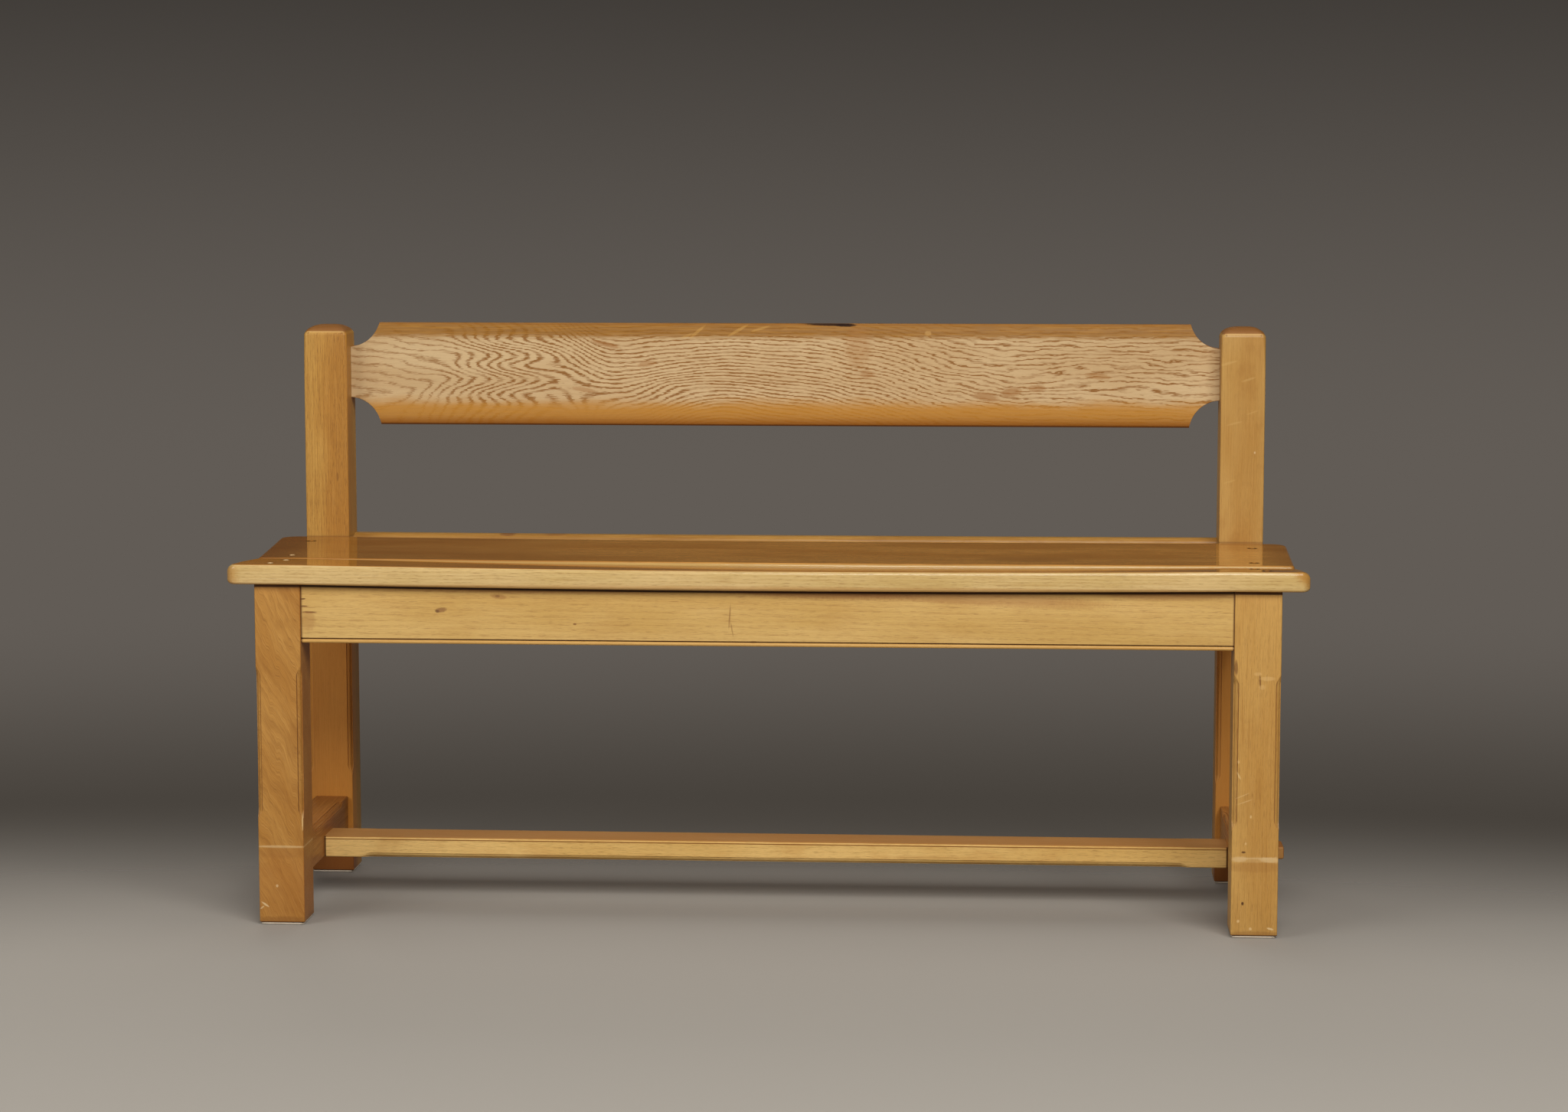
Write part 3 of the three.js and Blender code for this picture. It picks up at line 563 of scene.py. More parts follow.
rails = {
    "rearTop": 8 * mm,
    "rearZone": 11 * mm,  # each corner's own zone, which its rounding has to fit in
    "rearDrop": (1.0 * mm, 0.9 * mm),  # the rear rail sits low and has settled a little
    "arris": 2 * mm,
    "sideStop": 34 * mm,
    "centreStop": 46 * mm,
    "centreZone": 8 * mm,
    "centreRings": 7,
    "cornerShares": (1, 0.5, 0.5, 1),  # size of the moulding at the bottom, top, top and bottom corners
    "tenonDeep": 42 * mm,
    "tenonHigh": 17 * mm,
    "tenonArris": 2.5 * mm,
}


def rearRail():
    _, ys, zs = spans("rear_rail")
    reach = spans("rear_post_right")[0][0] - shoulderGap
    radii = [rails["arris"], rails["rearTop"], rails["rearTop"], rails["arris"]]
    settled, bowed = rails["rearDrop"]
    piece = timber("rearRail", "x", (-reach, reach), ys, zs, radii, reach=rails["rearZone"],
                   drop=lambda x: settled + bowed * bow(x, reach))
    keep(piece, "rear_rail")


def sideStretcher(hand):
    node = f"side_stretcher_{hand}"
    xs, _, zs = spans(node)
    ends = betweenLegs()
    stops = ends[0] + rails["sideStop"], ends[1] - rails["sideStop"]
    piece = timber(f"stretcherSide{hand.title()}", "y", ends, xs, zs, [rails["arris"]] * 4,
                   (0, 1, 1, 0), stops)
    keep(piece, node)


def centreStretcher():
    # the moulded bar, stepped down at its shoulders to a tenon that passes through and stands proud
    xs, ys, zs = spans("centre_stretcher")
    shoulder, arris = spans("side_stretcher_right")[0][0] - shoulderGap, rails["tenonArris"]
    rounded = xs[1] - arris  # where the tenon's end starts to round over
    start, beyond = shoulder - rails["centreStop"], moulding["beyond"]
    steps = np.linspace(0, moulding["run"], moulding["steps"])
    plain = np.linspace(0, start - moulding["run"] - beyond, rails["centreRings"])
    half = np.concatenate([plain, start - steps[::-1], [start + beyond, shoulder]])
    tenon = np.concatenate([[shoulder], rounded + arris * np.sin(quarterArc())])
    along = np.concatenate([-tenon[::-1], -half[:0:-1], half, tenon])
    isTenon = np.concatenate([[True] * len(tenon), [False] * (2 * len(half) - 1), [True] * len(tenon)])
    share = np.where(isTenon, 0, smooth((start - np.abs(along)) / moulding["run"]))
    pastEnd = np.clip(np.abs(along) - rounded, 0, arris) / arris
    inset = np.where(isTenon, arris * (1 - np.sqrt(1 - pastEnd ** 2)), 0)
    middle = sum(ys) / 2
    halfDeep = np.where(isTenon, rails["tenonDeep"] / 2, (ys[1] - ys[0]) / 2) - inset
    low = np.where(isTenon, zs[1] - rails["tenonHigh"], zs[0]) + inset
    radius = np.where(isTenon, arris, rails["arris"])
    sideY, sideZ = section(middle - halfDeep, middle + halfDeep, low, zs[1] - inset, [radius] * 4,
                           [share * size for size in rails["cornerShares"]], rails["centreZone"])
    piece = skin("stretcherCentre", facing(sideY, sideZ, along[:, None], "x"))
    keep(piece, "centre_stretcher")


def seatBearer(hand):
    node = f"seat_bearer_{hand}"
    xs, _, zs = spans(node)
    ends = spans("front_apron")[1][1] + shoulderGap, spans("rear_rail")[1][0] - shoulderGap
    top = zs[1] + float(sagAt(sum(xs) / 2))
    piece = timber(f"bearer{hand.title()}", "y", ends, xs, (zs[0], top), [rails["arris"]] * 4)
    keep(piece, node)


# Pegs and pads

peg = {
    "dome": 0.7 * mm,
    "numbers": (1, 2, 3, 4),
    "rim": 0.5 * mm,
    "rimSteps": 5,
    "domeShares": (1, 0.06, 6),  # from the rim to the innermost ring, and how many rings
    "sides": 40,
}

pad = {
    "power": 14,        # of the rounded square |x|^n + |y|^n = 1
    "bulge": 2.8 * mm,
    "fray": 0.5 * mm,
    "waveShare": 0.12,  # of the fray, as long waves
    "hairShare": 0.25,  # and as loose hairs
    "edgeShare": 0.3,   # how much of it is left at the top and the bottom
    "limits": (-0.04, 0.01),  # as shares of the half width
    "waves": range(3, 60, 3),
    "phase": 6.3,
    "levels": 9,
    "around": 220,
    "seeds": {"front": 11, "rear": 21},
}


def seatPeg(hand, number):
    # turned profile: up the side, over a softened rim, in across a slight dome
    node = f"seat_peg_{hand}_{number}"
    xs, ys, zs = spans(node)
    radius, x, y, rim = (xs[1] - xs[0]) / 2, sum(xs) / 2, sum(ys) / 2, peg["rim"]
    isFront = y < spans("seat_front_board")[1][1]
    boardSpan = spans("seat_front_board" if isFront else "seat_main_board")[1]
    top = zs[1] + float(topDrop(x, y, boardSpan, isFront))
    turn = quarterArc(peg["rimSteps"])
    inner = np.linspace(*peg["domeShares"])[1:] * (radius - rim)
    radii = np.concatenate([[radius], radius - rim * (1 - np.cos(turn)), inner])
    dome = peg["dome"] * (1 - (inner / (radius - rim)) ** 2)
    levels = np.concatenate([[zs[0]], top - rim * (1 - np.sin(turn)), top + dome])
    angle = np.linspace(0, 2 * math.pi, peg["sides"], endpoint=False)
    rings = np.stack([x + radii[:, None] * np.cos(angle), y + radii[:, None] * np.sin(angle),
                      levels[:, None] + 0 * angle], -1)
    keep(skin(f"peg{hand.title()}{number}", rings), node)


def feltPad(hand, row, seed):
    # rounded square whose pressed sides bulge and fray a little
    node = f"felt_pad_{row}_{hand}"
    xs, ys, zs = spans(node)
    half, around, levels = (xs[1] - xs[0]) / 2, pad["around"], pad["levels"]
    draw = np.random.default_rng(seed)
    angle = np.linspace(0, 2 * math.pi, around, endpoint=False)
    outline = [np.sign(way) * np.abs(way) ** (2 / pad["power"]) for way in (np.cos(angle), np.sin(angle))]
    waves = sum(draw.normal() * np.cos(k * angle + draw.uniform(0, pad["phase"])) / k ** 0.5
                for k in pad["waves"])
    level = np.linspace(0, 1, levels)
    swell = 1 + pad["bulge"] * np.sqrt(np.clip(1 - (2 * level - 1) ** 2, 0, 1)) / half
    hairs = draw.normal(size=(levels, around))
    fray = pad["fray"] * (hairs * pad["hairShare"] + waves * pad["waveShare"]) / half
    fray[[0, -1]] *= pad["edgeShare"]
    size = half * (swell[:, None] + np.clip(fray, *pad["limits"]))
    rings = np.stack([sum(xs) / 2 + size * outline[0], sum(ys) / 2 + size * outline[1],
                      (zs[0] + (zs[1] - zs[0]) * level)[:, None] + 0 * angle], -1)
    keep(skin(f"felt{row.title()}{hand.title()}", rings), node)


for hand, side in (("left", -1), ("right", 1)):
    keep(frontLeg(f"legFront{hand.title()}", f"front_leg_{hand}"), f"front_leg_{hand}")
    keep(rearPost(f"postRear{hand.title()}", f"rear_post_{hand}"), f"rear_post_{hand}")
    endApron(hand, side)
    sideStretcher(hand)
    seatBearer(hand)
    for number in peg["numbers"]:
        seatPeg(hand, number)
    for row, seed in pad["seeds"].items():
        feltPad(hand, row, seed + side)
seatBoards()
frontApron()
backRail()
rearRail()
centreStretcher()
print(f"bench: {len(made)} pieces, {sum(len(p.data.polygons) for p in made.values())} faces")


# Materials

work = {"tree": None}  # the node tree that is being filled


def srgb(red, green, blue):
    shares = [value / 255 for value in (red, green, blue)]
    return *(share / 12.92 if share <= 0.04045 else ((share + 0.055) / 1.055) ** 2.4 for share in shares), 1.0


def addNode(kind, values, out=0, **settings):
    node = work["tree"].nodes.new(kind)
    for key, value in settings.items():
        setattr(node, key, value)
    for key, value in values.items():
        if isinstance(value, bpy.types.NodeSocket):
            work["tree"].links.new(value, node.inputs[key])
        else:
            node.inputs[key].default_value = value
    return node.outputs[out]


def calc(operation, *values):
    return addNode("ShaderNodeMath", dict(enumerate(values)), operation=operation)


def plus(*values):
    total = values[0]
    for value in values[1:]:
        total = calc("ADD", total, value)
    return total


def minus(a, b):
    return calc("SUBTRACT", a, b)


def times(*values):
    product = values[0]
    for value in values[1:]:
        product = calc("MULTIPLY", product, value)
    return product


def ramp(value, low, high):  # smooth step from 0 at low to 1 at high
    return addNode("ShaderNodeMapRange", {"Value": value, "From Min": low, "From Max": high},
                   interpolation_type="SMOOTHSTEP")


def joined(x, y, z):
    return addNode("ShaderNodeCombineXYZ", {0: x, 1: y, 2: z})


def noise(vector, detail=2.0, rough=0.5, bend=0.0):  # its scale is in the vector
    return addNode("ShaderNodeTexNoise", {"Vector": vector, "Scale": 1.0, "Detail": detail,
                                          "Roughness": rough, "Distortion": bend})


def evenNoise(axes, scale, *settings):  # alike in all three directions
    return noise(joined(*(times(axis, scale) for axis in axes.values())), *settings)


def blended(share, a, b, how="MIX"):
    return addNode("ShaderNodeMix", {0: share, 6: a, 7: b}, out=2, data_type="RGBA", blend_type=how)


def newMaterial(name):
    material = bpy.data.materials.new(name)
    material.use_nodes = True
    material.node_tree.nodes.clear()
    work["tree"] = material.node_tree
    return material


def finished(material, settings, links):
    tree = work["tree"]
    shader = tree.nodes.new("ShaderNodeBsdfPrincipled")
    for key, value in settings.items():
        shader.inputs[key].default_value = value
    for key, socket in links.items():
        tree.links.new(socket, shader.inputs[key])
    output = tree.nodes.new("ShaderNodeOutputMaterial")
    tree.links.new(shader.outputs[0], output.inputs[0])
    return material


def linear(factor, value, offset=0.0):  # factor * value + offset
    return calc("MULTIPLY_ADD", value, factor, offset)


def coordinates(order):  # the piece's own X, Y and Z in mm, and the same three by grain: along, across, deep
    place = addNode("ShaderNodeTexCoord", {}, out=3)
    scaled = addNode("ShaderNodeVectorMath", {0: place, 3: 1 / mm}, operation="SCALE")
    parts = work["tree"].nodes.new("ShaderNodeSeparateXYZ")
    work["tree"].links.new(scaled, parts.inputs[0])
    axes = dict(zip("xyz", parts.outputs))
    return axes, [axes[letter] for letter in order]


def stretched(grain, scales, seed, *settings):  # noise drawn out by its own scale each way, per mm
    lengthways, across, deep = grain
    along, aside = scales
    return noise(joined(linear(along, lengthways, seed), linear(aside, across, seed * 2.3),
                        times(deep, aside)), *settings)


def normalAlong(letter):  # how far the surface faces along an axis
    normal = addNode("ShaderNodeNewGeometry", {}, out=1)
    return addNode("ShaderNodeSeparateXYZ", {0: normal}, out="xyz".index(letter))


def hill(p, q, middle, reach):  # Gaussian bump over the plane of p and q
    u, v = linear(1 / reach[0], p, -middle[0] / reach[0]), linear(1 / reach[1], q, -middle[1] / reach[1])
    return calc("EXPONENT", times(calc("MULTIPLY_ADD", u, u, times(v, v)), -1.0))


def patch(p, q, ragged, middle, reach, turn=0.0):  # soft ellipse u^2 + v^2 < 1 with a broken rim
    cosine, sine = math.cos(math.radians(turn)), math.sin(math.radians(turn))
    awayU = linear(cosine / reach[0], p, -(middle[0] * cosine + middle[1] * sine) / reach[0])
    awayV = linear(-sine / reach[1], p, (middle[0] * sine - middle[1] * cosine) / reach[1])
    u = calc("MULTIPLY_ADD", q, sine / reach[0], awayU)
    v = calc("MULTIPLY_ADD", q, cosine / reach[1], awayV)
    away = plus(times(u, u), times(v, v), ragged)
    return ramp(away, *woodLimits["patch"])


def band(value, middle, half, soft):  # 1 within half of the middle, 0 beyond its soft edge
    return ramp(calc("ABSOLUTE", minus(value, middle)), half + soft, half)


def paint(wood, mask, tint, share=1.0, how="MIX"):
    wood["colour"] = blended(times(mask, share), wood["colour"], srgb(*tint), how)


def shade(wood, value, zone, where=1.0, how="MIX"):
    # a zone holds a ramp's two limits or a band's three, then a colour and a strength
    limits, tint, share = zone
    mask = ramp(value, *limits) if len(limits) == 2 else band(value, *limits)
    paint(wood, times(mask, where), tint, share, how)


woodNoises = {  # scales along and across the grain per mm, own seed, detail, roughness
    "slow": ((0.004, 0.018), 1, 2.0, 0.5),
    "pore": ((0.075, 1.2), 3, 2.0, 0.55),
    "speck": ((0.09, 2.1), 4, 1.0, 0.5),
    "blotch": ((0.018, 0.03), 5, 3.0, 0.55),
}

fineNoise = (0.62, 2, 4.0, 0.6)  # the same for the streaks, whose scale along the grain is the look's
wanderNoise = (5, 7, 3.0, 0.5)   # and for the wander, whose scale across it is so many times the look's

woodLimits = {  # values of each noise or wave between which its tone comes in
    "pale": (0.34, 0.66), "early": (0.0, 0.18), "late": (0.75, 0.25), "deep": (0.46, 0.7),
    "light": (0.5, 0.3), "dash": (0.54, 0.64), "speck": (0.6, 0.7), "blotch": (0.5, 0.68),
    "ends": (0.5, 0.85), "patch": (1.7, 0.4),
}

woodShares = {"light": 0.6, "earlyDash": 0.65, "speck": 0.7}
woodRelief = {"fine": 0.5, "dash": -0.9, "speck": -0.4}
woodGloss = 0.22   # how much the roughness follows the fine streaks
raggedness = 1.1   # of the rims of marks
raggedScale = 0.35


def layered(look):
    # oak: slow drift of tone, growth rings about a far pith, streaks, pores, blotches and end grain
    wood = {}
    wood["axes"], (lengthways, across, deep) = coordinates(look["axes"])
    seed, tones, limits = look["seed"], look["tones"], woodLimits
    ratio, own, *settings = wanderNoise
    scales = look["bend"], look["bend"] * ratio
    wander = stretched((lengthways, across, deep), scales, seed + own, *settings)
    across = plus(across, linear(look["warp"], wander, -look["warp"] / 2), times(lengthways, look["slope"]))
    aside, *settings = fineNoise
    noises = {**woodNoises, "fine": ((look["streak"], aside), *settings)}
    layer = {name: stretched((lengthways, across, deep), scales, seed + own, *settings)
             for name, (scales, own, *settings) in noises.items()}
    fine, ring = layer["fine"], look["ring"]
    offA, offD = (linear(1 / ring, way, -pith / ring) for way, pith in zip((across, deep), look["pith"]))
    radius = calc("SQRT", calc("MULTIPLY_ADD", offA, offA, times(offD, offD)))
    wave = calc("FRACT", plus(radius, times(fine, look["ragged"])))
    early = times(ramp(wave, *limits["early"]), ramp(wave, *limits["late"]))
    dash = times(ramp(layer["pore"], *limits["dash"]),
                 linear(woodShares["earlyDash"], early, 1 - woodShares["earlyDash"]))
    speck = ramp(layer["speck"], *limits["speck"])
    wood["ragged"] = linear(raggedness, evenNoise(wood["axes"], raggedScale), -raggedness / 2)
    wood["colour"] = blended(ramp(layer["slow"], *limits["pale"]), srgb(*tones["main"]), srgb(*tones["pale"]))
    paint(wood, early, tones["deep"], look["figure"])
    paint(wood, ramp(fine, *limits["deep"]), tones["deep"], look["fine"])
    paint(wood, ramp(fine, *limits["light"]), tones["light"], look["fine"] * woodShares["light"])
    paint(wood, dash, tones["dark"], look["pores"])
    paint(wood, speck, tones["dark"], look["pores"] * woodShares["speck"])
    paint(wood, ramp(layer["blotch"], *limits["blotch"]), tones["deep"], look["blotch"])
    ends = ramp(calc("ABSOLUTE", normalAlong(look["axes"][0])), *limits["ends"])
    paint(wood, ends, tones["end"], look["endShare"])
    wood["height"] = plus(*(times(value, woodRelief[name]) for name, value in
                            (("fine", fine), ("dash", dash), ("speck", speck))))
    wood["gloss"] = linear(woodGloss, fine, look["rough"] - woodGloss / 2)
    return wood


def varnished(material, wood, look):
    relief = {"Strength": look["bump"], "Distance": look["relief"], "Height": wood["height"]}
    links = {"Base Color": wood["colour"], "Roughness": wood["gloss"],
             "Normal": addNode("ShaderNodeBump", relief)}
    if "bare" in wood:  # no varnish there
        links["Coat Weight"] = linear(-look["coat"], wood["bare"], look["coat"])
    settings = {"Coat Weight": look["coat"], "Coat Roughness": look["coatRough"],
                "IOR": look["ior"], "Specular IOR Level": look["specular"]}
    return finished(material, settings, links)


def marked(wood, marks, p="x", q="z", where=1.0):
    # marks: middle and reach in mm, turn in degrees, colour, strength
    for middle, reach, turn, tint, share in marks:
        mask = patch(wood["axes"][p], wood["axes"][q], wood["ragged"], middle, reach, turn)
        paint(wood, times(mask, where), tint, share)


oak = {
    "axes": "zxy",  # along the grain, across it and into the board
    "seed": 1.0,
    "bend": 0.004, "warp": 14, "slope": 0.0,  # how often per mm and how far in mm the grain wanders, its lean
    "pith": (420, 260), "ring": 3.4, "ragged": 0.9,  # the rings' centre and width in mm, and their raggedness
    "figure": 0.22, "fine": 0.3, "streak": 0.02, "pores": 0.3, "blotch": 0.12, "endShare": 0.9,
    "bump": 0.3, "relief": 0.15 * mm, "rough": 0.46,
    "specular": 0.3, "coat": 0.12, "coatRough": 0.2, "ior": 1.45,
    "tones": {"pale": (190, 142, 78), "main": (178, 128, 66), "light": (204, 160, 96), "deep": (150, 98, 44),
              "dark": (104, 62, 26), "end": (112, 68, 34)},
}


def finishOne(name, changes, extra):  # one finish for one piece
    look = {**oak, **changes, "tones": {**oak["tones"], **changes.get("tones", {})}}
    material = newMaterial(f"{name}Finish")
    wood = layered(look)
    extra(wood)
    made[name].data.materials.append(varnished(material, wood, look))


# Legs and posts: dirt in the quirks, painted shade under the seat and low down, a painted highlight on the
# post tops, wear at shin height

legLooks = {
    "legFrontLeft": {
        "seed": 3.1, "slope": 0.5, "warp": 50, "bend": 0.005, "ring": 11, "pith": (900, 60), "ragged": 2.4,
        "figure": 0.17, "pores": 0.34, "fine": 0.34, "blotch": 0.35,
        "tones": {"pale": (188, 136, 66), "main": (174, 120, 52), "deep": (142, 90, 34)},
    },
    "legFrontRight": {
        "seed": 9.4, "warp": 8, "ring": 3.2, "pith": (640, 900),
        "figure": 0.3, "pores": 0.42, "fine": 0.4, "streak": 0.011,
        "tones": {"pale": (200, 154, 82), "main": (188, 138, 66), "deep": (154, 102, 42)},
    },
    "postRearLeft": {
        "seed": 15.2, "warp": 8, "ring": 2.8, "pith": (-640, 900),
        "figure": 0.2, "pores": 0.42, "streak": 0.012,
        "tones": {"pale": (194, 147, 70), "main": (180, 127, 54), "deep": (146, 94, 34)},
    },
    "postRearRight": {
        "seed": 22.8, "ring": 5, "pith": (640, 400),
        "figure": 0.1, "pores": 0.2, "fine": 0.3, "streak": 0.012, "blotch": 0.32,
        "tones": {"pale": (190, 148, 80), "main": (178, 131, 62), "deep": (154, 104, 44)},
    },
}

legDepths = {  # mm behind the front face between which each part begins or ends
    "quirkFrom": (0.05, 0.8), "quirkTo": (3.0, 1.4), "rimHighlightTo": (3.0, 1.5), "frontTo": (44.0, 14.0),
}

legZones = {  # heights in mm, apart from the quirk's distance from the side
    "quirk": ((moulding["width"] / mm, 0.5, 1.0), (112, 64, 24), 0.65),
    "pillow": ((760.5, 762.0), (142, 92, 42), 0.9),
    # painted highlight: a pale line along the front arris of the post's top
    "rim": ((761.4, 0.5, 0.9), (214, 172, 106), 0.6),
    "seatLine": ((476.0, 0.6, 1.6), (120, 74, 34), 0.45),
    "underSeat": ((456.0, 410.0), (216, 138, 54), 0.55),
    "behind": ((72.0, 44.0), (118, 62, 26), 0.8),       # painted shade on the post's lower front, where the stretchers shade it
    "foot": ((5.6, 3.8), (84, 46, 20), 0.7),            # painted shade where the felt begins
    "seatShadow": ((445.4, 446.8), (40, 18, 8), 0.92),
    # painted shade at the top of the front legs, under the seat
    "top": ((436.0, 450.0), (128, 78, 34), 0.3),
}

upwards = (0.3, 0.6)  # limits of the normal's height on the pillow

legMarks = {
    "legFrontLeft": [
        ((-602.6, 225), (1.4, 260), 0, (150, 84, 26), 0.4),   # the redder inner side
        ((-633, 48), (52, 44), 0, (158, 94, 36), 0.3),
        ((-633, 104), (34, 1.6), 0, (214, 180, 128), 0.55),   # pale line of wear
        ((-633, 96), (40, 7), 0, (150, 96, 42), 0.35),
        ((-639, 51.8), (1.6, 2.0), 0, (222, 190, 140), 0.6),
        ((-655, 27), (5.5, 1.2), -35, (220, 190, 140), 0.8),
        ((-659, 23), (3, 0.9), 40, (214, 184, 134), 0.7),
        ((-604.2, 137), (0.9, 11), 0, (224, 188, 128), 0.7),
        ((-633, 5), (40, 6), 0, (126, 78, 34), 0.45),
    ],
    "legFrontRight": [
        ((634, 103), (34, 3.6), 0, (208, 172, 116), 0.3),      # scuffed band
        ((613, 103.4), (9, 3.6), 2, (220, 186, 134), 0.45),
        ((652, 102.8), (12, 3.2), -2, (222, 190, 138), 0.5),
        ((634, 104.6), (26, 0.8), 1, (222, 188, 134), 0.4),
        ((634, 93), (40, 6), 0, (160, 108, 50), 0.35),
        ((660, 103), (3, 4.0), 0, (212, 172, 112), 0.5),
        ((618.5, 112.5), (2.6, 1.3), 0, (92, 54, 24), 0.9),
        ((618, 45.4), (1.5, 2.2), 0, (84, 50, 24), 0.95),
        ((636.3, 334), (1.1, 9), 4, (120, 76, 36), 0.8),
        ((633, 344), (5, 2.2), 0, (214, 172, 108), 0.45),
        ((646, 338), (9, 2.6), 0, (214, 172, 108), 0.5),
        ((639, 327), (4, 3), 0, (214, 172, 108), 0.4),
        ((610.3, 230), (1.3, 2.0), 0, (220, 182, 122), 0.55),
        ((611, 212), (1.2, 5), 25, (224, 190, 130), 0.55),
        ((627, 158.9), (1.2, 2.0), 0, (224, 190, 130), 0.6),
        ((621, 123.8), (1.2, 1.5), 0, (222, 188, 130), 0.55),
        ((616, 186), (9, 0.7), 24, (218, 182, 124), 0.4),
        ((619, 178), (10, 0.7), 20, (218, 182, 124), 0.4),
        ((653.7, 12.8), (4, 1.3), -15, (226, 194, 140), 0.8),
        ((612.7, 22.2), (1.6, 2), 0, (226, 190, 132), 0.7),
        ((628.5, 12.4), (1.8, 1.8), 0, (226, 190, 132), 0.7),
        ((605.5, 352), (2.2, 9), 0, (112, 68, 30), 0.7),
        ((634, 4), (40, 5), 0, (132, 84, 38), 0.4),
    ],
    "postRearLeft": [
        ((-618, 560), (1.4, 6), 0, (120, 76, 34), 0.5),
        ((-600, 640), (1.2, 9), 0, (126, 80, 36), 0.4),
    ],
    "postRearRight": [
        ((612, 722), (12, 1.6), 16, (206, 170, 104), 0.3),
        ((640, 700), (9, 1.4), 18, (206, 170, 104), 0.3),
        ((622, 640), (10, 1.2), 14, (208, 172, 108), 0.25),
        ((646, 655), (8, 1.0), 20, (206, 168, 100), 0.25),
        ((616, 560), (8, 1.2), 18, (206, 168, 100), 0.25),
        ((650, 600), (1.2, 1.6), 0, (224, 196, 150), 0.5),
    ],
}


def legFinish(name, node):
    xs, ys, _ = spans(node)
    middle, half, face = sum(xs) / 2 / mm, (xs[1] - xs[0]) / 2 / mm, ys[0] / mm

    def extra(wood):
        x, y, z = (wood["axes"][letter] for letter in "xyz")
        fromSide = minus(half, calc("ABSOLUTE", minus(x, middle)))
        fromFace = minus(y, face)
        deep = {part: ramp(fromFace, *limits) for part, limits in legDepths.items()}
        shade(wood, fromSide, legZones["quirk"], times(deep["quirkFrom"], deep["quirkTo"]))
        if name.startswith("post"):
            shade(wood, z, legZones["pillow"], ramp(normalAlong("z"), *upwards))
            # painted highlight along the front arris of the pillow
            shade(wood, z, legZones["rim"], deep["rimHighlightTo"])
            shade(wood, z, legZones["seatLine"])
            shade(wood, z, legZones["underSeat"], deep["frontTo"])
            # painted shade low on the post's front
            shade(wood, z, legZones["behind"], deep["frontTo"])
        else:
            # front legs: painted shade at the foot, a painted shadow line and painted shade under the seat
            for zone in ("foot", "seatShadow", "top"):
                shade(wood, z, legZones[zone])
        marked(wood, legMarks[name])

    finishOne(name, legLooks[name], extra)


# Aprons: pale amber, painted shade towards the top, knots and a scratch

apronLook = {
    "axes": "xzy", "seed": 31.0, "bend": 0.0022, "warp": 5, "slope": 0.012, "ring": 4.6, "pith": (230, 60),
    "figure": 0.1, "fine": 0.22, "streak": 0.014, "pores": 0.32, "blotch": 0.12,
    "tones": {"pale": (211, 173, 105), "main": (199, 159, 89), "light": (218, 182, 116),
              "deep": (168, 116, 54), "dark": (116, 66, 26)},
}

apronZones = {
    "top": ((440.0, 449.0), (146, 94, 42), 0.3),         # height in mm against the settled boards; painted shade under the seat's overhang
    "seatShadow": ((445.6, 446.9), (40, 18, 8), 0.92),
    "bead": ((7.5, 6.0), (206, 152, 74), 0.5),           # mm above the lower edge
    "quirk": ((0.0, 0.6, 0.6), (96, 54, 22), 0.9),       # mm from the quirk's middle
    "ends": ((3.0, 0.6), (88, 48, 22), 0.8),             # mm from the legs
}

apronMarks = [
    ((-418.9, 417.6), (7, 3.2), 10, (128, 84, 50), 0.7),   # knots
    ((-424, 416), (2.6, 1.8), 0, (92, 56, 34), 0.6),
    ((-343.7, 435.7), (10, 3.0), -8, (150, 96, 50), 0.5),
    ((-345, 436), (3, 1.5), 0, (108, 64, 34), 0.5),
    ((-244.6, 400.5), (2.2, 1.2), 0, (126, 76, 40), 0.8),
    ((-43.8, 412), (1.0, 15), -4, (136, 92, 48), 0.6),      # scratch
    ((-41, 396), (0.8, 9), 10, (136, 92, 48), 0.5),
    ((-13.5, 378.8), (5, 1.6), 0, (140, 90, 44), 0.6),
    ((-600.0, 430.6), (3.6, 1.0), 4, (96, 50, 22), 0.85),  # cracks at the left end
    ((-598.0, 421.2), (5.0, 0.9), 0, (104, 56, 24), 0.8),
    ((-591.0, 413.4), (9.0, 1.0), 0, (104, 56, 26), 0.8),
    ((-593, 402), (9, 12), 0, (150, 96, 46), 0.35),
    ((60, 446), (130, 9), -2, (150, 94, 52), 0.55),         # reddish under the seat
    ((250, 440), (170, 9), -3, (156, 100, 54), 0.4),
    ((-300, 447), (200, 6), 0, (156, 102, 56), 0.45),
    ((520, 446), (80, 8), 0, (158, 102, 56), 0.4),
]


def apronFinish():
    ends = spans("front_leg_right")[0][0] / mm
    bottom = spans("front_apron")[2][0] / mm
    groove = bottom + (2 * apron["bead"] + apron["quirkWide"] / 2) / mm
    sag = seat["sag"] / mm

    def extra(wood):
        x, z = wood["axes"]["x"], wood["axes"]["z"]
        marked(wood, apronMarks)
        far = linear(mm / seat["sagHalf"], x)
        level = plus(z, linear(-sag, times(far, far), sag))
        # painted shade and a painted shadow line under the seat's overhang
        shade(wood, level, apronZones["top"])
        shade(wood, level, apronZones["seatShadow"])
        shade(wood, minus(z, bottom), apronZones["bead"])
        shade(wood, minus(z, groove), apronZones["quirk"])
        shade(wood, minus(ends, calc("ABSOLUTE", x)), apronZones["ends"])

    finishOne("apronFront", apronLook, extra)


# Seat: a pale front board with worn amber ends, a deep amber main board, dark rings of gap and painted shade
# round the pegs

frontBoardLook = {
    "axes": "xyz", "seed": 51.0, "bend": 0.002, "warp": 7, "slope": 0.01, "ring": 4.2, "pith": (-60, 900),
    "figure": 0.16, "fine": 0.3, "streak": 0.013, "pores": 0.36, "blotch": 0.1, "endShare": 0.0,
    "rough": 0.4, "specular": 0.0, "coat": 0.8, "coatRough": 0.07,
    "tones": {"pale": (216, 184, 126), "main": (204, 172, 110), "light": (228, 200, 146),
              "deep": (174, 132, 68), "dark": (122, 80, 34)},
}

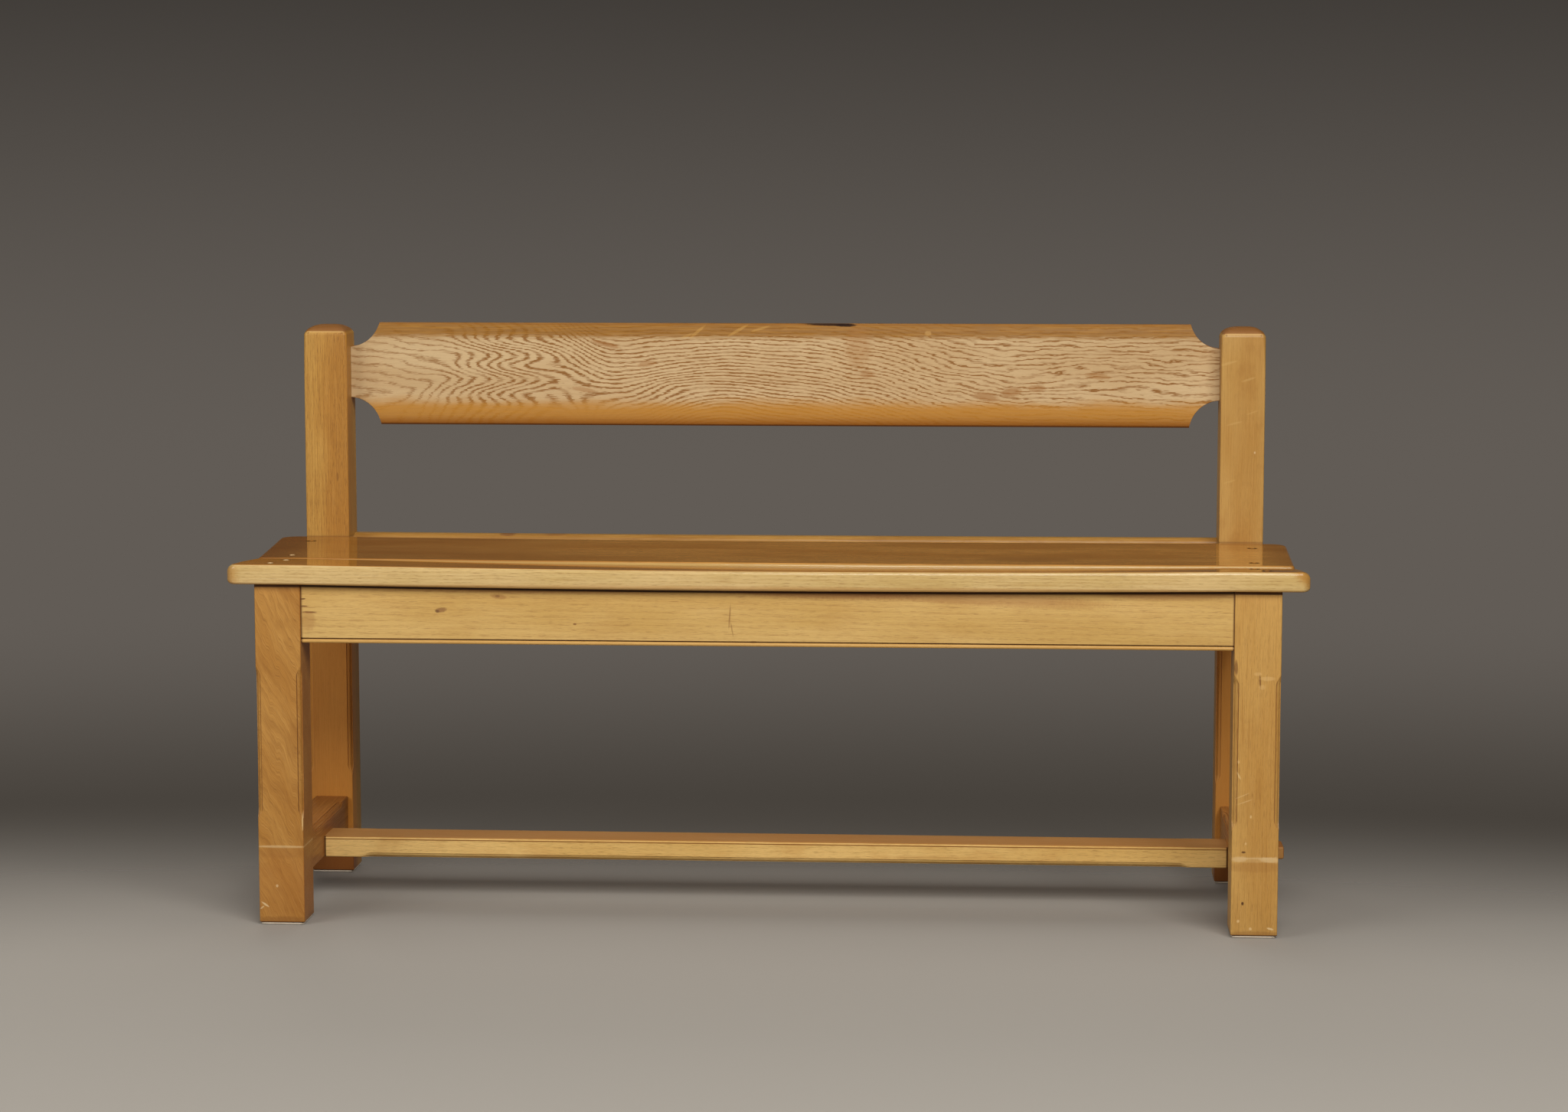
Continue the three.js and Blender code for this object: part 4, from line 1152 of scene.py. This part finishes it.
mainBoardLook = {
    "axes": "xyz", "seed": 61.0, "bend": 0.002, "warp": 30, "ring": 7, "pith": (200, 700),
    "figure": 0.34, "fine": 0.42, "pores": 0.32, "blotch": 0.16, "endShare": 0.4,
    "bump": 0.1, "rough": 0.4, "specular": 0.0, "coat": 0.82, "coatRough": 0.05,
    "tones": {"pale": (200, 141, 65), "main": (184, 124, 51), "light": (212, 152, 74), "deep": (148, 94, 36),
              "dark": (94, 54, 18), "end": (140, 86, 34)},
}

frontZones = {
    "top": ((0.8, 0.98), (224, 178, 114), 1.0),          # the normal's height: painted shade, the top is multiplied darker than the front face
    "topRight": ((-500.0, 0.0), (228, 229, 232), 1.0),   # X in mm: the painted shade on the top deepens towards the right
    "leftEnd": ((22.0, 3.0), (176, 118, 48), 0.6),       # mm from the left end
    "rightEnd": ((30.0, 14.0), (178, 122, 48), 0.8),     # mm from the right end, less further down
    "under": ((22.0, 25.5), (176, 124, 62), 0.5),        # mm below the top
}

mainZones = {
    "joint": ((2.6, 1.0), (194, 160, 98), 0.85),         # mm behind the joint: painted highlight on the main board's front arris
    "right": ((640.0, 690.0), (122, 68, 22), 0.35),      # X in mm
    "left": ((-100.0, -560.0), (130, 74, 24), 0.4),
    "farLeft": ((-600.0, -680.0), (100, 48, 15), 0.45),
}

mainMarks = [((338, -60), (60, 30), 0, (122, 72, 24), 0.25)]

endWear = {"ragged": 8.0, "slant": 0.9, "upright": (0.9, 0.4)}  # rims of the worn ends

# dark rings on the boards round the pegs: the gap round each peg and painted shade at the foot of its dome
pegGapShade = {
    "limits": (5.2, 1.3, 1.3),  # mm from the peg's middle
    "tint": (36, 14, 4),
    "left": (0.35, 0.35, 0.35, 0.9),  # strength at each peg
    "right": (0.9, 0.95, 0.9, 0.9),
}


def pegPlaces(board):
    low, high = spans(board)[1]
    for hand in ("left", "right"):
        for number, share in enumerate(pegGapShade[hand], 1):
            xs, ys, _ = spans(f"seat_peg_{hand}_{number}")
            if low < sum(ys) / 2 < high:
                yield sum(xs) / 2 / mm, sum(ys) / 2 / mm, share


def distanceFrom(wood, placeX, placeY):  # in plan, square root of the two squared offsets
    offX, offY = minus(wood["axes"]["x"], placeX), minus(wood["axes"]["y"], placeY)
    return calc("SQRT", calc("MULTIPLY_ADD", offX, offX, times(offY, offY)))


def ringed(wood, board):
    for pegX, pegY, share in pegPlaces(board):
        ring = times(band(distanceFrom(wood, pegX, pegY), *pegGapShade["limits"]), share)
        paint(wood, ring, pegGapShade["tint"])
        wood["bare"] = calc("MAXIMUM", wood.get("bare", 0.0), ring)


def seatFinish():
    xs, (_, joint), zs = spans("seat_front_board")
    half, joint, top = xs[1] / mm, joint / mm, zs[1] / mm
    slant = endWear["slant"]

    def frontExtra(wood):
        x, _, z = (wood["axes"][letter] for letter in "xyz")
        upward = normalAlong("z")
        # painted shade: the board's top darker than its front face, more so towards the right
        shade(wood, upward, frontZones["top"], how="MULTIPLY")
        shade(wood, x, frontZones["topRight"], ramp(upward, *frontZones["top"][0]), "MULTIPLY")
        worn = plus(x, times(wood["ragged"], endWear["ragged"]))
        shade(wood, plus(worn, half), frontZones["leftEnd"], ramp(upward, *endWear["upright"]))
        shade(wood, minus(half + slant * top, plus(worn, times(z, slant))), frontZones["rightEnd"])
        shade(wood, minus(top, z), frontZones["under"])
        ringed(wood, "seat_front_board")

    def mainExtra(wood):
        # painted highlight along the main board's front arris at the joint
        shade(wood, minus(wood["axes"]["y"], joint), mainZones["joint"])
        for zone in ("right", "left", "farLeft"):
            shade(wood, wood["axes"]["x"], mainZones[zone])
        marked(wood, mainMarks, "x", "y")
        ringed(wood, "seat_main_board")

    finishOne("seatFront", frontBoardLook, frontExtra)
    finishOne("seatMain", mainBoardLook, mainExtra)


pegLook = {"coat": 0.3, "coatRough": 0.12, "specular": 0.0, "endShare": 0.0, "pores": 0.5}

pegTones = {  # the three pegs at the front left are painted pale, a painted highlight of their domes catching the light
    "pale": {"pale": (236, 204, 154), "main": (226, 190, 136), "deep": (190, 142, 88)},
    "dark": {"pale": (190, 130, 54), "main": (176, 114, 44), "deep": (132, 76, 28)},
}

pegRimShade = {  # mm from the rim: painted shade round the foot of the dome, faint on the pale pegs
    "pale": ((1.9, 0.7), (52, 24, 8), 0.3),
    "dark": ((1.9, 0.7), (52, 24, 8), 0.95),
}


def pegFinish(hand, number):
    kind = "pale" if hand == "left" and number < 4 else "dark"
    xs, ys, _ = spans(f"seat_peg_{hand}_{number}")
    pegX, pegY, radius = sum(xs) / 2 / mm, sum(ys) / 2 / mm, (xs[1] - xs[0]) / 2 / mm

    def rim(wood):
        shade(wood, minus(radius, distanceFrom(wood, pegX, pegY)), pegRimShade[kind])

    look = {**pegLook, "seed": 90.0 + 7 * number, "tones": pegTones[kind]}
    finishOne(f"peg{hand.title()}{number}", look, rim)


# Back rail: bold ragged figure on a pale field between two amber bands

railLook = {
    "axes": "xzy", "seed": 41.0, "figure": 0.0, "fine": 0.14, "pores": 0.1, "blotch": 0.05, "endShare": 0.3,
    "rough": 0.55, "specular": 0.15, "coat": 0.04, "coatRough": 0.3,
    "tones": {"pale": (205, 177, 133), "main": (195, 164, 119), "light": (212, 186, 146),
              "deep": (172, 132, 84)},
}

railNoises = {  # scales along X and Z per mm, slice, detail
    "drift": (0.012, 0.042, 3.0, 2.0),
    "kink": (0.035, 0.09, 8.0, 1.0),
    "teeth": (0.05, 1.0, 5.0, 1.0),
    "nibs": (0.14, 1.7, 9.0, 0.0),
    "fading": (0.022, 0.16, 12.0, 2.0),
    "cloud": (0.012, 0.05, 17.0, 3.0),
    "streak": (0.02, 0.5, 21.0, 3.0),
}

railFigure = {
    "spacing": 6.3,          # mm between lines in the right part
    "width": 0.48,           # share of the spacing that a line takes
    "soft": 0.22,            # and its softness
    "teeth": 0.75,           # how far the fine noises break a line up
    "nibs": 0.45,
    "stroke": (140, 94, 44),
    "strokeShare": 0.95,
    "faint": 0.38,           # strength of a line where it fades
    "fading": (0.34, 0.52),  # values of its noise between which a line comes back
    "wildFading": 0.05,      # more lines fade at the right end
    "loose": (0.5, 0.9),     # how far the slow noises bend the lines, and what the right end adds
    "drift": (0.9, 0.8),
    "thinner": 0.07,         # lines right of the tongues, as a share of the spacing
    "apartThinner": 0.17,    # and at the left end
    "bolder": 0.1,           # where the lines arch
    "apartFainter": 0.25,
    "calmFainter": 0.85,     # where the two patterns meet in the lower band
    "border": (690.0, 0.4),  # between tongues and arches: the height that railParts holds for, and its lean
    "ragTop": 9.0,           # mm by which the upper band's edge wanders
    "ragBottom": (24.0, 5.0),
}

railParts = {  # X in mm between which each part of the figure comes in
    "arches": (-335.0, -225.0),
    "thin": (-330.0, -200.0),
    "wild": (90.0, 230.0),      # less even than the arches
    "apart": (-410.0, -520.0),  # wide apart at the left
    "sawn": (556.0, 566.0),
}

railTongues = {  # nested tongues that point right
    "level": (680.0, 24.0), "levelParts": (-530.0, -450.0),  # height of their middle, its rise and where
    "steps": (10.5, 24.0),   # mm for each line above and below the middle
    "blend": 1.6,
    "climb": 9.5, "climbParts": (-560.0, -290.0), "slope": 110,  # lines from left to right
    "wave": 1.5, "waveLength": 38, "waveCrest": 693, "waveHill": ((-385, 712), (80, 60)),
    "start": 677 / railFigure["spacing"] - 6.5,
}

railArches = {  # lines that fall to the right, arch over the middle and open again at the right end
    "slant": 0.42, "slantFrom": -240, "slantParts": (-170.0, -330.0),
    "easing": 46.0, "easingParts": (20.0, 340.0),
    "bumps": [  # middle and reach in mm, lines
        ((-96, 620), (75, 100), -5.4), ((16, 620), (150, 100), -4.6), ((-150, 690), (50, 14), -1.6),
        ((640, 662), (190, 26), 2.4), ((95, 690), (30, 70), 0.9), ((330, 690), (55, 13), 1.3),
        ((430, 722), (70, 11), -1.1), ((235, 716), (60, 12), 1.0), ((520, 690), (60, 9), -0.9),
    ],
}

railBold = ((-70, 684), (150, 50))   # where the lines arch
railCalm = ((-262, 644), (90, 17))   # where the two patterns meet in the lower band

railZones = {
    "upper": ((24.0, 13.5), (134, 86, 16), 0.88),        # mm below the upper edge
    "lower": ((46.0, 23.0), (176, 120, 42), 0.86),       # mm above the lower edge
    "golden": ((23.0, 3.0, 8.0), (206, 150, 62), 0.18),
    # painted shade towards the lower edge, and a darker painted shade line along it
    "lowEdgeShade": ((14.0, 2.0), (140, 80, 24), 0.6),
    "lowRimShade": ((3.0, 1.0), (84, 46, 20), 0.85),
    "highEdgeShade": ((5.0, 0.8), (146, 94, 42), 0.45),       # mm below the upper edge: a painted shade line
    "streak": ((0.4, 0.66), (196, 142, 60), 0.26),       # value of its noise
    "sawn": ((0.9, 0.4), (150, 96, 44), 0.8),            # how far the surface faces the front or the back
}

scorchDepth = (194.0, 187.0)  # Y in mm: only the front half of the top edge is scorched

railScorch = [((65, 772.2), (32, 2.0), -1, (44, 22, 10), 0.95), ((88, 771.0), (14, 2.0), 0, (34, 16, 8), 0.9)]

railMarks = [
    ((202, 760), (4.5, 3.4), 0, (206, 164, 96), 0.4),
    ((-118, 761), (13, 2.0), 40, (206, 160, 84), 0.35),
    ((-132, 756), (9, 1.8), 20, (206, 160, 84), 0.3),
    ((-62, 763), (15, 2.0), 30, (206, 160, 84), 0.35),
    ((-30, 766), (12, 1.6), 16, (206, 160, 84), 0.3),
    ((105, 742), (16, 30), 0, (160, 108, 54), 0.3),
    ((282, 673), (16, 6), -10, (156, 108, 58), 0.6),
    ((317, 679), (14, 6), 8, (156, 108, 58), 0.6),
    ((352, 685), (12, 5), 0, (156, 108, 58), 0.5),
    ((436, 702), (16, 4), -6, (160, 112, 60), 0.55),
    ((118, 704), (9, 5), 0, (156, 106, 56), 0.5),
    ((-245, 744), (20, 3.2), -14, (156, 106, 56), 0.6),
    ((-188, 717), (12, 4), 10, (158, 108, 58), 0.5),
    ((-277, 681), (16, 3), -8, (158, 108, 58), 0.45),
]


def tongues(x, z):  # in lines: a climb to the right, a roof over the middle level, and a wave
    form = railTongues
    level = linear(form["level"][1], ramp(x, *form["levelParts"]), form["level"][0])
    rise, (above, below) = minus(z, level), form["steps"]
    roof = calc("SMOOTH_MAX", times(rise, 1 / above), times(rise, -1 / below), form["blend"])
    climb = plus(times(ramp(x, *form["climbParts"]), form["climb"]), times(x, 1 / form["slope"]))
    turn = 2 * math.pi / form["waveLength"]
    wave = times(calc("COSINE", linear(turn, z, -form["waveCrest"] * turn)), hill(x, z, *form["waveHill"]))
    return plus(climb, roof, times(wave, -form["wave"]), form["start"])


def arches(x, z):  # in lines: the height over their spacing, with slants and bumps added
    form = railArches
    slant = times(linear(form["slant"], x, -form["slant"] * form["slantFrom"]), ramp(x, *form["slantParts"]))
    easing = times(ramp(x, *form["easingParts"]), form["easing"])
    field = times(plus(z, slant, easing), 1 / railFigure["spacing"])
    return plus(field, *(times(hill(x, z, middle, reach), lines) for middle, reach, lines in form["bumps"]))


def railLines(x, z, layer):  # a line lies round every half in the disturbed count of lines
    form = railFigure
    (level, lean), (bend, wildBend), (drift, looseDrift) = form["border"], form["loose"], form["drift"]
    share = ramp(plus(x, times(minus(z, level), lean)), *railParts["arches"])
    field = plus(times(tongues(x, z), minus(1.0, share)), times(arches(x, z), share))
    wild = ramp(x, *railParts["wild"])
    apart = ramp(x, *railParts["apart"])
    loose = linear(wildBend, wild, bend)
    phase = plus(field, times(layer["drift"], linear(looseDrift, loose, drift)), times(layer["kink"], loose),
                 times(layer["teeth"], form["teeth"]), times(layer["nibs"], form["nibs"]))
    away = calc("ABSOLUTE", linear(2.0, calc("FRACT", phase), -1.0))
    width = plus(form["width"], times(ramp(x, *railParts["thin"]), -form["thinner"]),
                 times(apart, -form["apartThinner"]), times(hill(x, z, *railBold), form["bolder"]))
    stroke = ramp(away, width, minus(width, form["soft"]))
    kept = ramp(plus(layer["fading"], times(wild, -form["wildFading"])), *form["fading"])
    strength = linear(1 - form["faint"], kept, form["faint"])
    calm = linear(-form["calmFainter"], hill(x, z, *railCalm), 1.0)
    return times(stroke, strength, linear(-form["apartFainter"], apart, 1.0), calm)


def railFinish():
    low, high = (v / mm for v in spans("back_rail")[2])
    reach, (slowReach, fineReach) = railFigure["ragTop"], railFigure["ragBottom"]

    def extra(wood):
        x, y, z = (wood["axes"][letter] for letter in "xyz")
        layer = {name: noise(joined(times(x, scaleX), times(z, scaleZ), place), detail)
                 for name, (scaleX, scaleZ, place, detail) in railNoises.items()}
        paint(wood, railLines(x, z, layer), railFigure["stroke"], railFigure["strokeShare"])
        above, below = minus(z, low), minus(high, z)
        ragTop = linear(reach, layer["teeth"], -reach / 2)
        ragBottom = plus(linear(slowReach, layer["cloud"], -slowReach / 2), times(layer["teeth"], fineReach))
        masks = {"upper": ramp(minus(below, ragTop), *railZones["upper"][0]),
                 "lower": ramp(plus(above, ragBottom), *railZones["lower"][0])}
        for zone, mask in masks.items():
            paint(wood, mask, *railZones[zone][1:])
        shade(wood, layer["streak"], railZones["streak"], calc("MAXIMUM", *masks.values()))
        # a golden band, and painted shade towards and along the lower edge
        for zone in ("golden", "lowEdgeShade", "lowRimShade"):
            shade(wood, above, railZones[zone])
        # painted shade line along the upper edge
        shade(wood, below, railZones["highEdgeShade"])
        sawn = ramp(calc("ABSOLUTE", x), *railParts["sawn"])
        shade(wood, calc("ABSOLUTE", normalAlong("y")), railZones["sawn"], sawn)
        marked(wood, railMarks)
        marked(wood, railScorch, where=ramp(y, *scorchDepth))

    finishOne("backRail", railLook, extra)


# The rails below and behind, the bearers and the felt

restLooks = {
    "rearRail": {
        "axes": "xzy", "seed": 81.0, "pores": 0.2, "coat": 0.15, "coatRough": 0.15,
        "tones": {"pale": (176, 128, 56), "main": (164, 116, 46), "deep": (136, 86, 30)},
    },
    "stretcherCentre": {
        "axes": "xzy", "seed": 71.0, "pith": (300, 400), "ring": 3.0,
        "figure": 0.1, "fine": 0.24, "pores": 0.34, "blotch": 0.3, "specular": 0.1, "coat": 0.0,
        "tones": {"pale": (232, 192, 120), "main": (214, 172, 100), "deep": (196, 144, 78)},
    },
    "stretcherSideLeft": {
        "axes": "yzx", "seed": 101.0, "figure": 0.3, "ring": 5,
        "tones": {"pale": (170, 110, 48), "main": (154, 94, 36), "deep": (124, 68, 24)},
    },
    "stretcherSideRight": {
        "axes": "yzx", "seed": 111.0, "figure": 0.3, "ring": 5,
        "tones": {"pale": (188, 130, 62), "main": (172, 112, 48), "deep": (138, 82, 34)},
    },
    "apronEndLeft": {"axes": "yzx", "seed": 121.0},
    "apronEndRight": {"axes": "yzx", "seed": 131.0},
    "bearerLeft": {"axes": "yzx", "seed": 141.0, "coat": 0.0, "rough": 0.62},
    "bearerRight": {"axes": "yzx", "seed": 151.0, "coat": 0.0, "rough": 0.62},
}

restMarks = {
    "rearRail": [
        ((-386, 477), (10, 2.0), 0, (110, 62, 34), 0.6),
        ((-318, 477.5), (14, 1.8), 0, (126, 74, 38), 0.4),
    ],
    "stretcherCentre": [
        ((-300, 60), (40, 2), 0, (150, 100, 50), 0.3),
        ((210, 66), (50, 1.6), 0, (158, 106, 54), 0.3),
    ],
}

stretcherFace = (3.0, 1.4)  # mm behind the front face

stretcherZones = {
    "quirk": ((3.3, 0.45, 0.5), (128, 78, 30), 0.85),    # mm below the top: a painted shade line of a quirk
    "top": ((1.4, 0.5), (162, 106, 52), 0.8),
    "shoulder": ((-1.2, 0.8, 0.6), (72, 36, 14), 0.9),   # mm past the shoulder: painted shade in the gap at the shoulder
    "tenon": ((30.0, 34.0), (150, 90, 38), 0.7),
}


def stretcherShadeAndTone(wood):  # a dark quirk line of painted shade under the top edge, a redder top, and dark lines of painted shade at the shoulders
    _, (front, _), (_, high) = spans("centre_stretcher")
    x, y, z = (wood["axes"][letter] for letter in "xyz")
    fromTop = minus(high / mm, z)
    pastShoulder = minus(calc("ABSOLUTE", x), spans("side_stretcher_right")[0][0] / mm)
    face = ramp(minus(y, front / mm), *stretcherFace)
    shade(wood, fromTop, stretcherZones["quirk"], face)
    shade(wood, fromTop, stretcherZones["top"])
    shade(wood, pastShoulder, stretcherZones["shoulder"], face)
    shade(wood, pastShoulder, stretcherZones["tenon"])


def restFinish(name, look):
    def extra(wood):
        marked(wood, restMarks.get(name, []))
        if name == "stretcherCentre":
            stretcherShadeAndTone(wood)

    finishOne(name, look, extra)


felt = {
    "pale": (230, 216, 194),
    "dark": (190, 174, 152),
    "tangle": (1.1, 5.0, 0.7, 1.2),  # scale per mm, detail, roughness, distortion
    "tangleLimits": (0.3, 0.7),
    "patches": 0.12,                 # scale per mm
    "patchLimits": (0.45, 0.7),
    "patchShare": 0.4,
    "relief": 0.4 * mm,
    "bump": 0.8,
    "shader": {"Roughness": 0.95, "Sheen Weight": 0.3},
}


def feltFinish(name):
    material = newMaterial(f"{name}Finish")
    axes, _ = coordinates("xyz")
    tangle = evenNoise(axes, *felt["tangle"])
    patches = times(ramp(evenNoise(axes, felt["patches"]), *felt["patchLimits"]), felt["patchShare"])
    colour = blended(ramp(tangle, *felt["tangleLimits"]), srgb(*felt["dark"]), srgb(*felt["pale"]))
    colour = blended(patches, colour, srgb(*felt["dark"]))
    relief = {"Strength": felt["bump"], "Distance": felt["relief"], "Height": tangle}
    links = {"Base Color": colour, "Normal": addNode("ShaderNodeBump", relief)}
    made[name].data.materials.append(finished(material, felt["shader"], links))


for hand in ("left", "right"):
    legFinish(f"legFront{hand.title()}", f"front_leg_{hand}")
    legFinish(f"postRear{hand.title()}", f"rear_post_{hand}")
    for number in peg["numbers"]:
        pegFinish(hand, number)
for name, look in restLooks.items():
    restFinish(name, look)
for name in [name for name in made if name.startswith("felt")]:
    feltFinish(name)
apronFinish()
seatFinish()
railFinish()
print("bench: finishes made")


# Floor, light and camera

stage = {
    "radius": 3.6,
    "sides": 96,
    "floor": srgb(166, 159, 149),
    "wall": srgb(98, 92, 86),
    "wallHigh": srgb(44, 41, 38),
    "wallLowShade": srgb(70, 65, 59),
    "high": (-0.09, 0.13),    # sines of the elevations between which the wall darkens upwards
    "low": (-0.125, -0.19),   # and downwards, a painted shade at the foot of the wall
    "fadeCentre": -1.3,       # in front of the bench, so that the floor ends close behind it
    "fade": (0.95, 2.1),
    "fadeWide": 0.55,         # how slowly it fades sideways
}

lampsAim = (0, 0, 0.4)  # the point that every lamp faces

lamps = [
    {"name": "keyLamp", "at": (1.2, -3.2, 2.9), "size": (3.2, 2.0), "power": 161},
    {"name": "fillLamp", "at": (-2.6, -2.4, 1.9), "size": (2.0, 2.0), "power": 47},
    {"name": "topLamp", "at": (0.0, 0.2, 3.2), "size": (3.0, 1.6), "power": 12},
    {"name": "backLamp", "at": (-0.6, 3.1, 2.3), "size": (2.8, 1.6), "power": 40, "mirrored": False},
]

view = {
    "place": (0.3046, -4.5353, 0.9776),
    "lookDown": 6.378,  # degrees below level
    "turn": 3.665,      # degrees towards -X
    "lens": 78.26,
    "sensor": 36.0,
}


def floorFade():  # 0 where the floor is solid, 1 where it is clear
    place = addNode("ShaderNodeTexCoord", {}, out=3)
    shifted = addNode("ShaderNodeVectorMath", {0: place, 1: (0, -stage["fadeCentre"], 0)}, operation="ADD")
    wide = addNode("ShaderNodeVectorMath", {0: shifted, 1: (stage["fadeWide"], 1, 1)}, operation="MULTIPLY")
    away = addNode("ShaderNodeVectorMath", {0: wide}, out=1, operation="LENGTH")
    below = addNode("ShaderNodeNewGeometry", {}, out=6)  # the floor doesn't hide the bench from underneath
    return calc("MAXIMUM", ramp(away, *stage["fade"]), below)


def floorDisc():
    angle = np.linspace(0, 2 * math.pi, stage["sides"], endpoint=False)
    points = stage["radius"] * np.stack([np.cos(angle), np.sin(angle), 0 * angle], -1)
    mesh = bpy.data.meshes.new("floor")
    mesh.from_pydata(points.tolist(), [], [list(range(stage["sides"]))])
    floor = bpy.data.objects.new("floor", mesh)
    bpy.context.scene.collection.objects.link(floor)
    mesh.materials.append(newMaterial("floorPaint"))
    matt = addNode("ShaderNodeBsdfDiffuse", {0: stage["floor"]})
    clear = addNode("ShaderNodeBsdfTransparent", {})
    surface = addNode("ShaderNodeMixShader", {0: floorFade(), 1: matt, 2: clear})
    output = work["tree"].nodes.new("ShaderNodeOutputMaterial")
    work["tree"].links.new(surface, output.inputs[0])


def softLamp(settings):
    data = bpy.data.lights.new(settings["name"], "AREA")
    data.shape = "RECTANGLE"
    data.size, data.size_y = settings["size"]
    data.energy = settings["power"]
    lamp = bpy.data.objects.new(settings["name"], data)
    lamp.location = settings["at"]
    aim = np.array(lampsAim) - np.array(settings["at"])
    flat = math.hypot(aim[0], aim[1])
    lamp.rotation_euler = (math.atan2(flat, -aim[2]), 0, math.atan2(-aim[0], aim[1]))
    lamp.visible_glossy = settings.get("mirrored", True)
    bpy.context.scene.collection.objects.link(lamp)


def backdrop(world):
    tree = work["tree"] = world.node_tree
    tree.nodes.clear()
    place = addNode("ShaderNodeTexCoord", {})
    height = addNode("ShaderNodeSeparateXYZ", {0: place}, out=2)
    colour = blended(ramp(height, *stage["high"]), stage["wall"], stage["wallHigh"])
    colour = blended(ramp(height, *stage["low"]), colour, stage["wallLowShade"])
    light = addNode("ShaderNodeBackground", {0: colour})
    output = tree.nodes.new("ShaderNodeOutputWorld")
    tree.links.new(light, output.inputs[0])


def studio():
    floorDisc()
    for settings in lamps:
        softLamp(settings)
    scene = bpy.context.scene
    world = bpy.data.worlds.new("studio")
    world.use_nodes = True
    backdrop(world)
    scene.world = world
    data = bpy.data.cameras.new("photoView")
    data.lens, data.sensor_width, data.sensor_fit = view["lens"], view["sensor"], "HORIZONTAL"
    camera = bpy.data.objects.new("photoView", data)
    camera.location = view["place"]
    camera.rotation_euler = (math.radians(90 - view["lookDown"]), 0, math.radians(view["turn"]))
    scene.collection.objects.link(camera)
    scene.camera = camera
    scene.view_settings.view_transform = "Standard"


studio()
print("bench: studio ready")
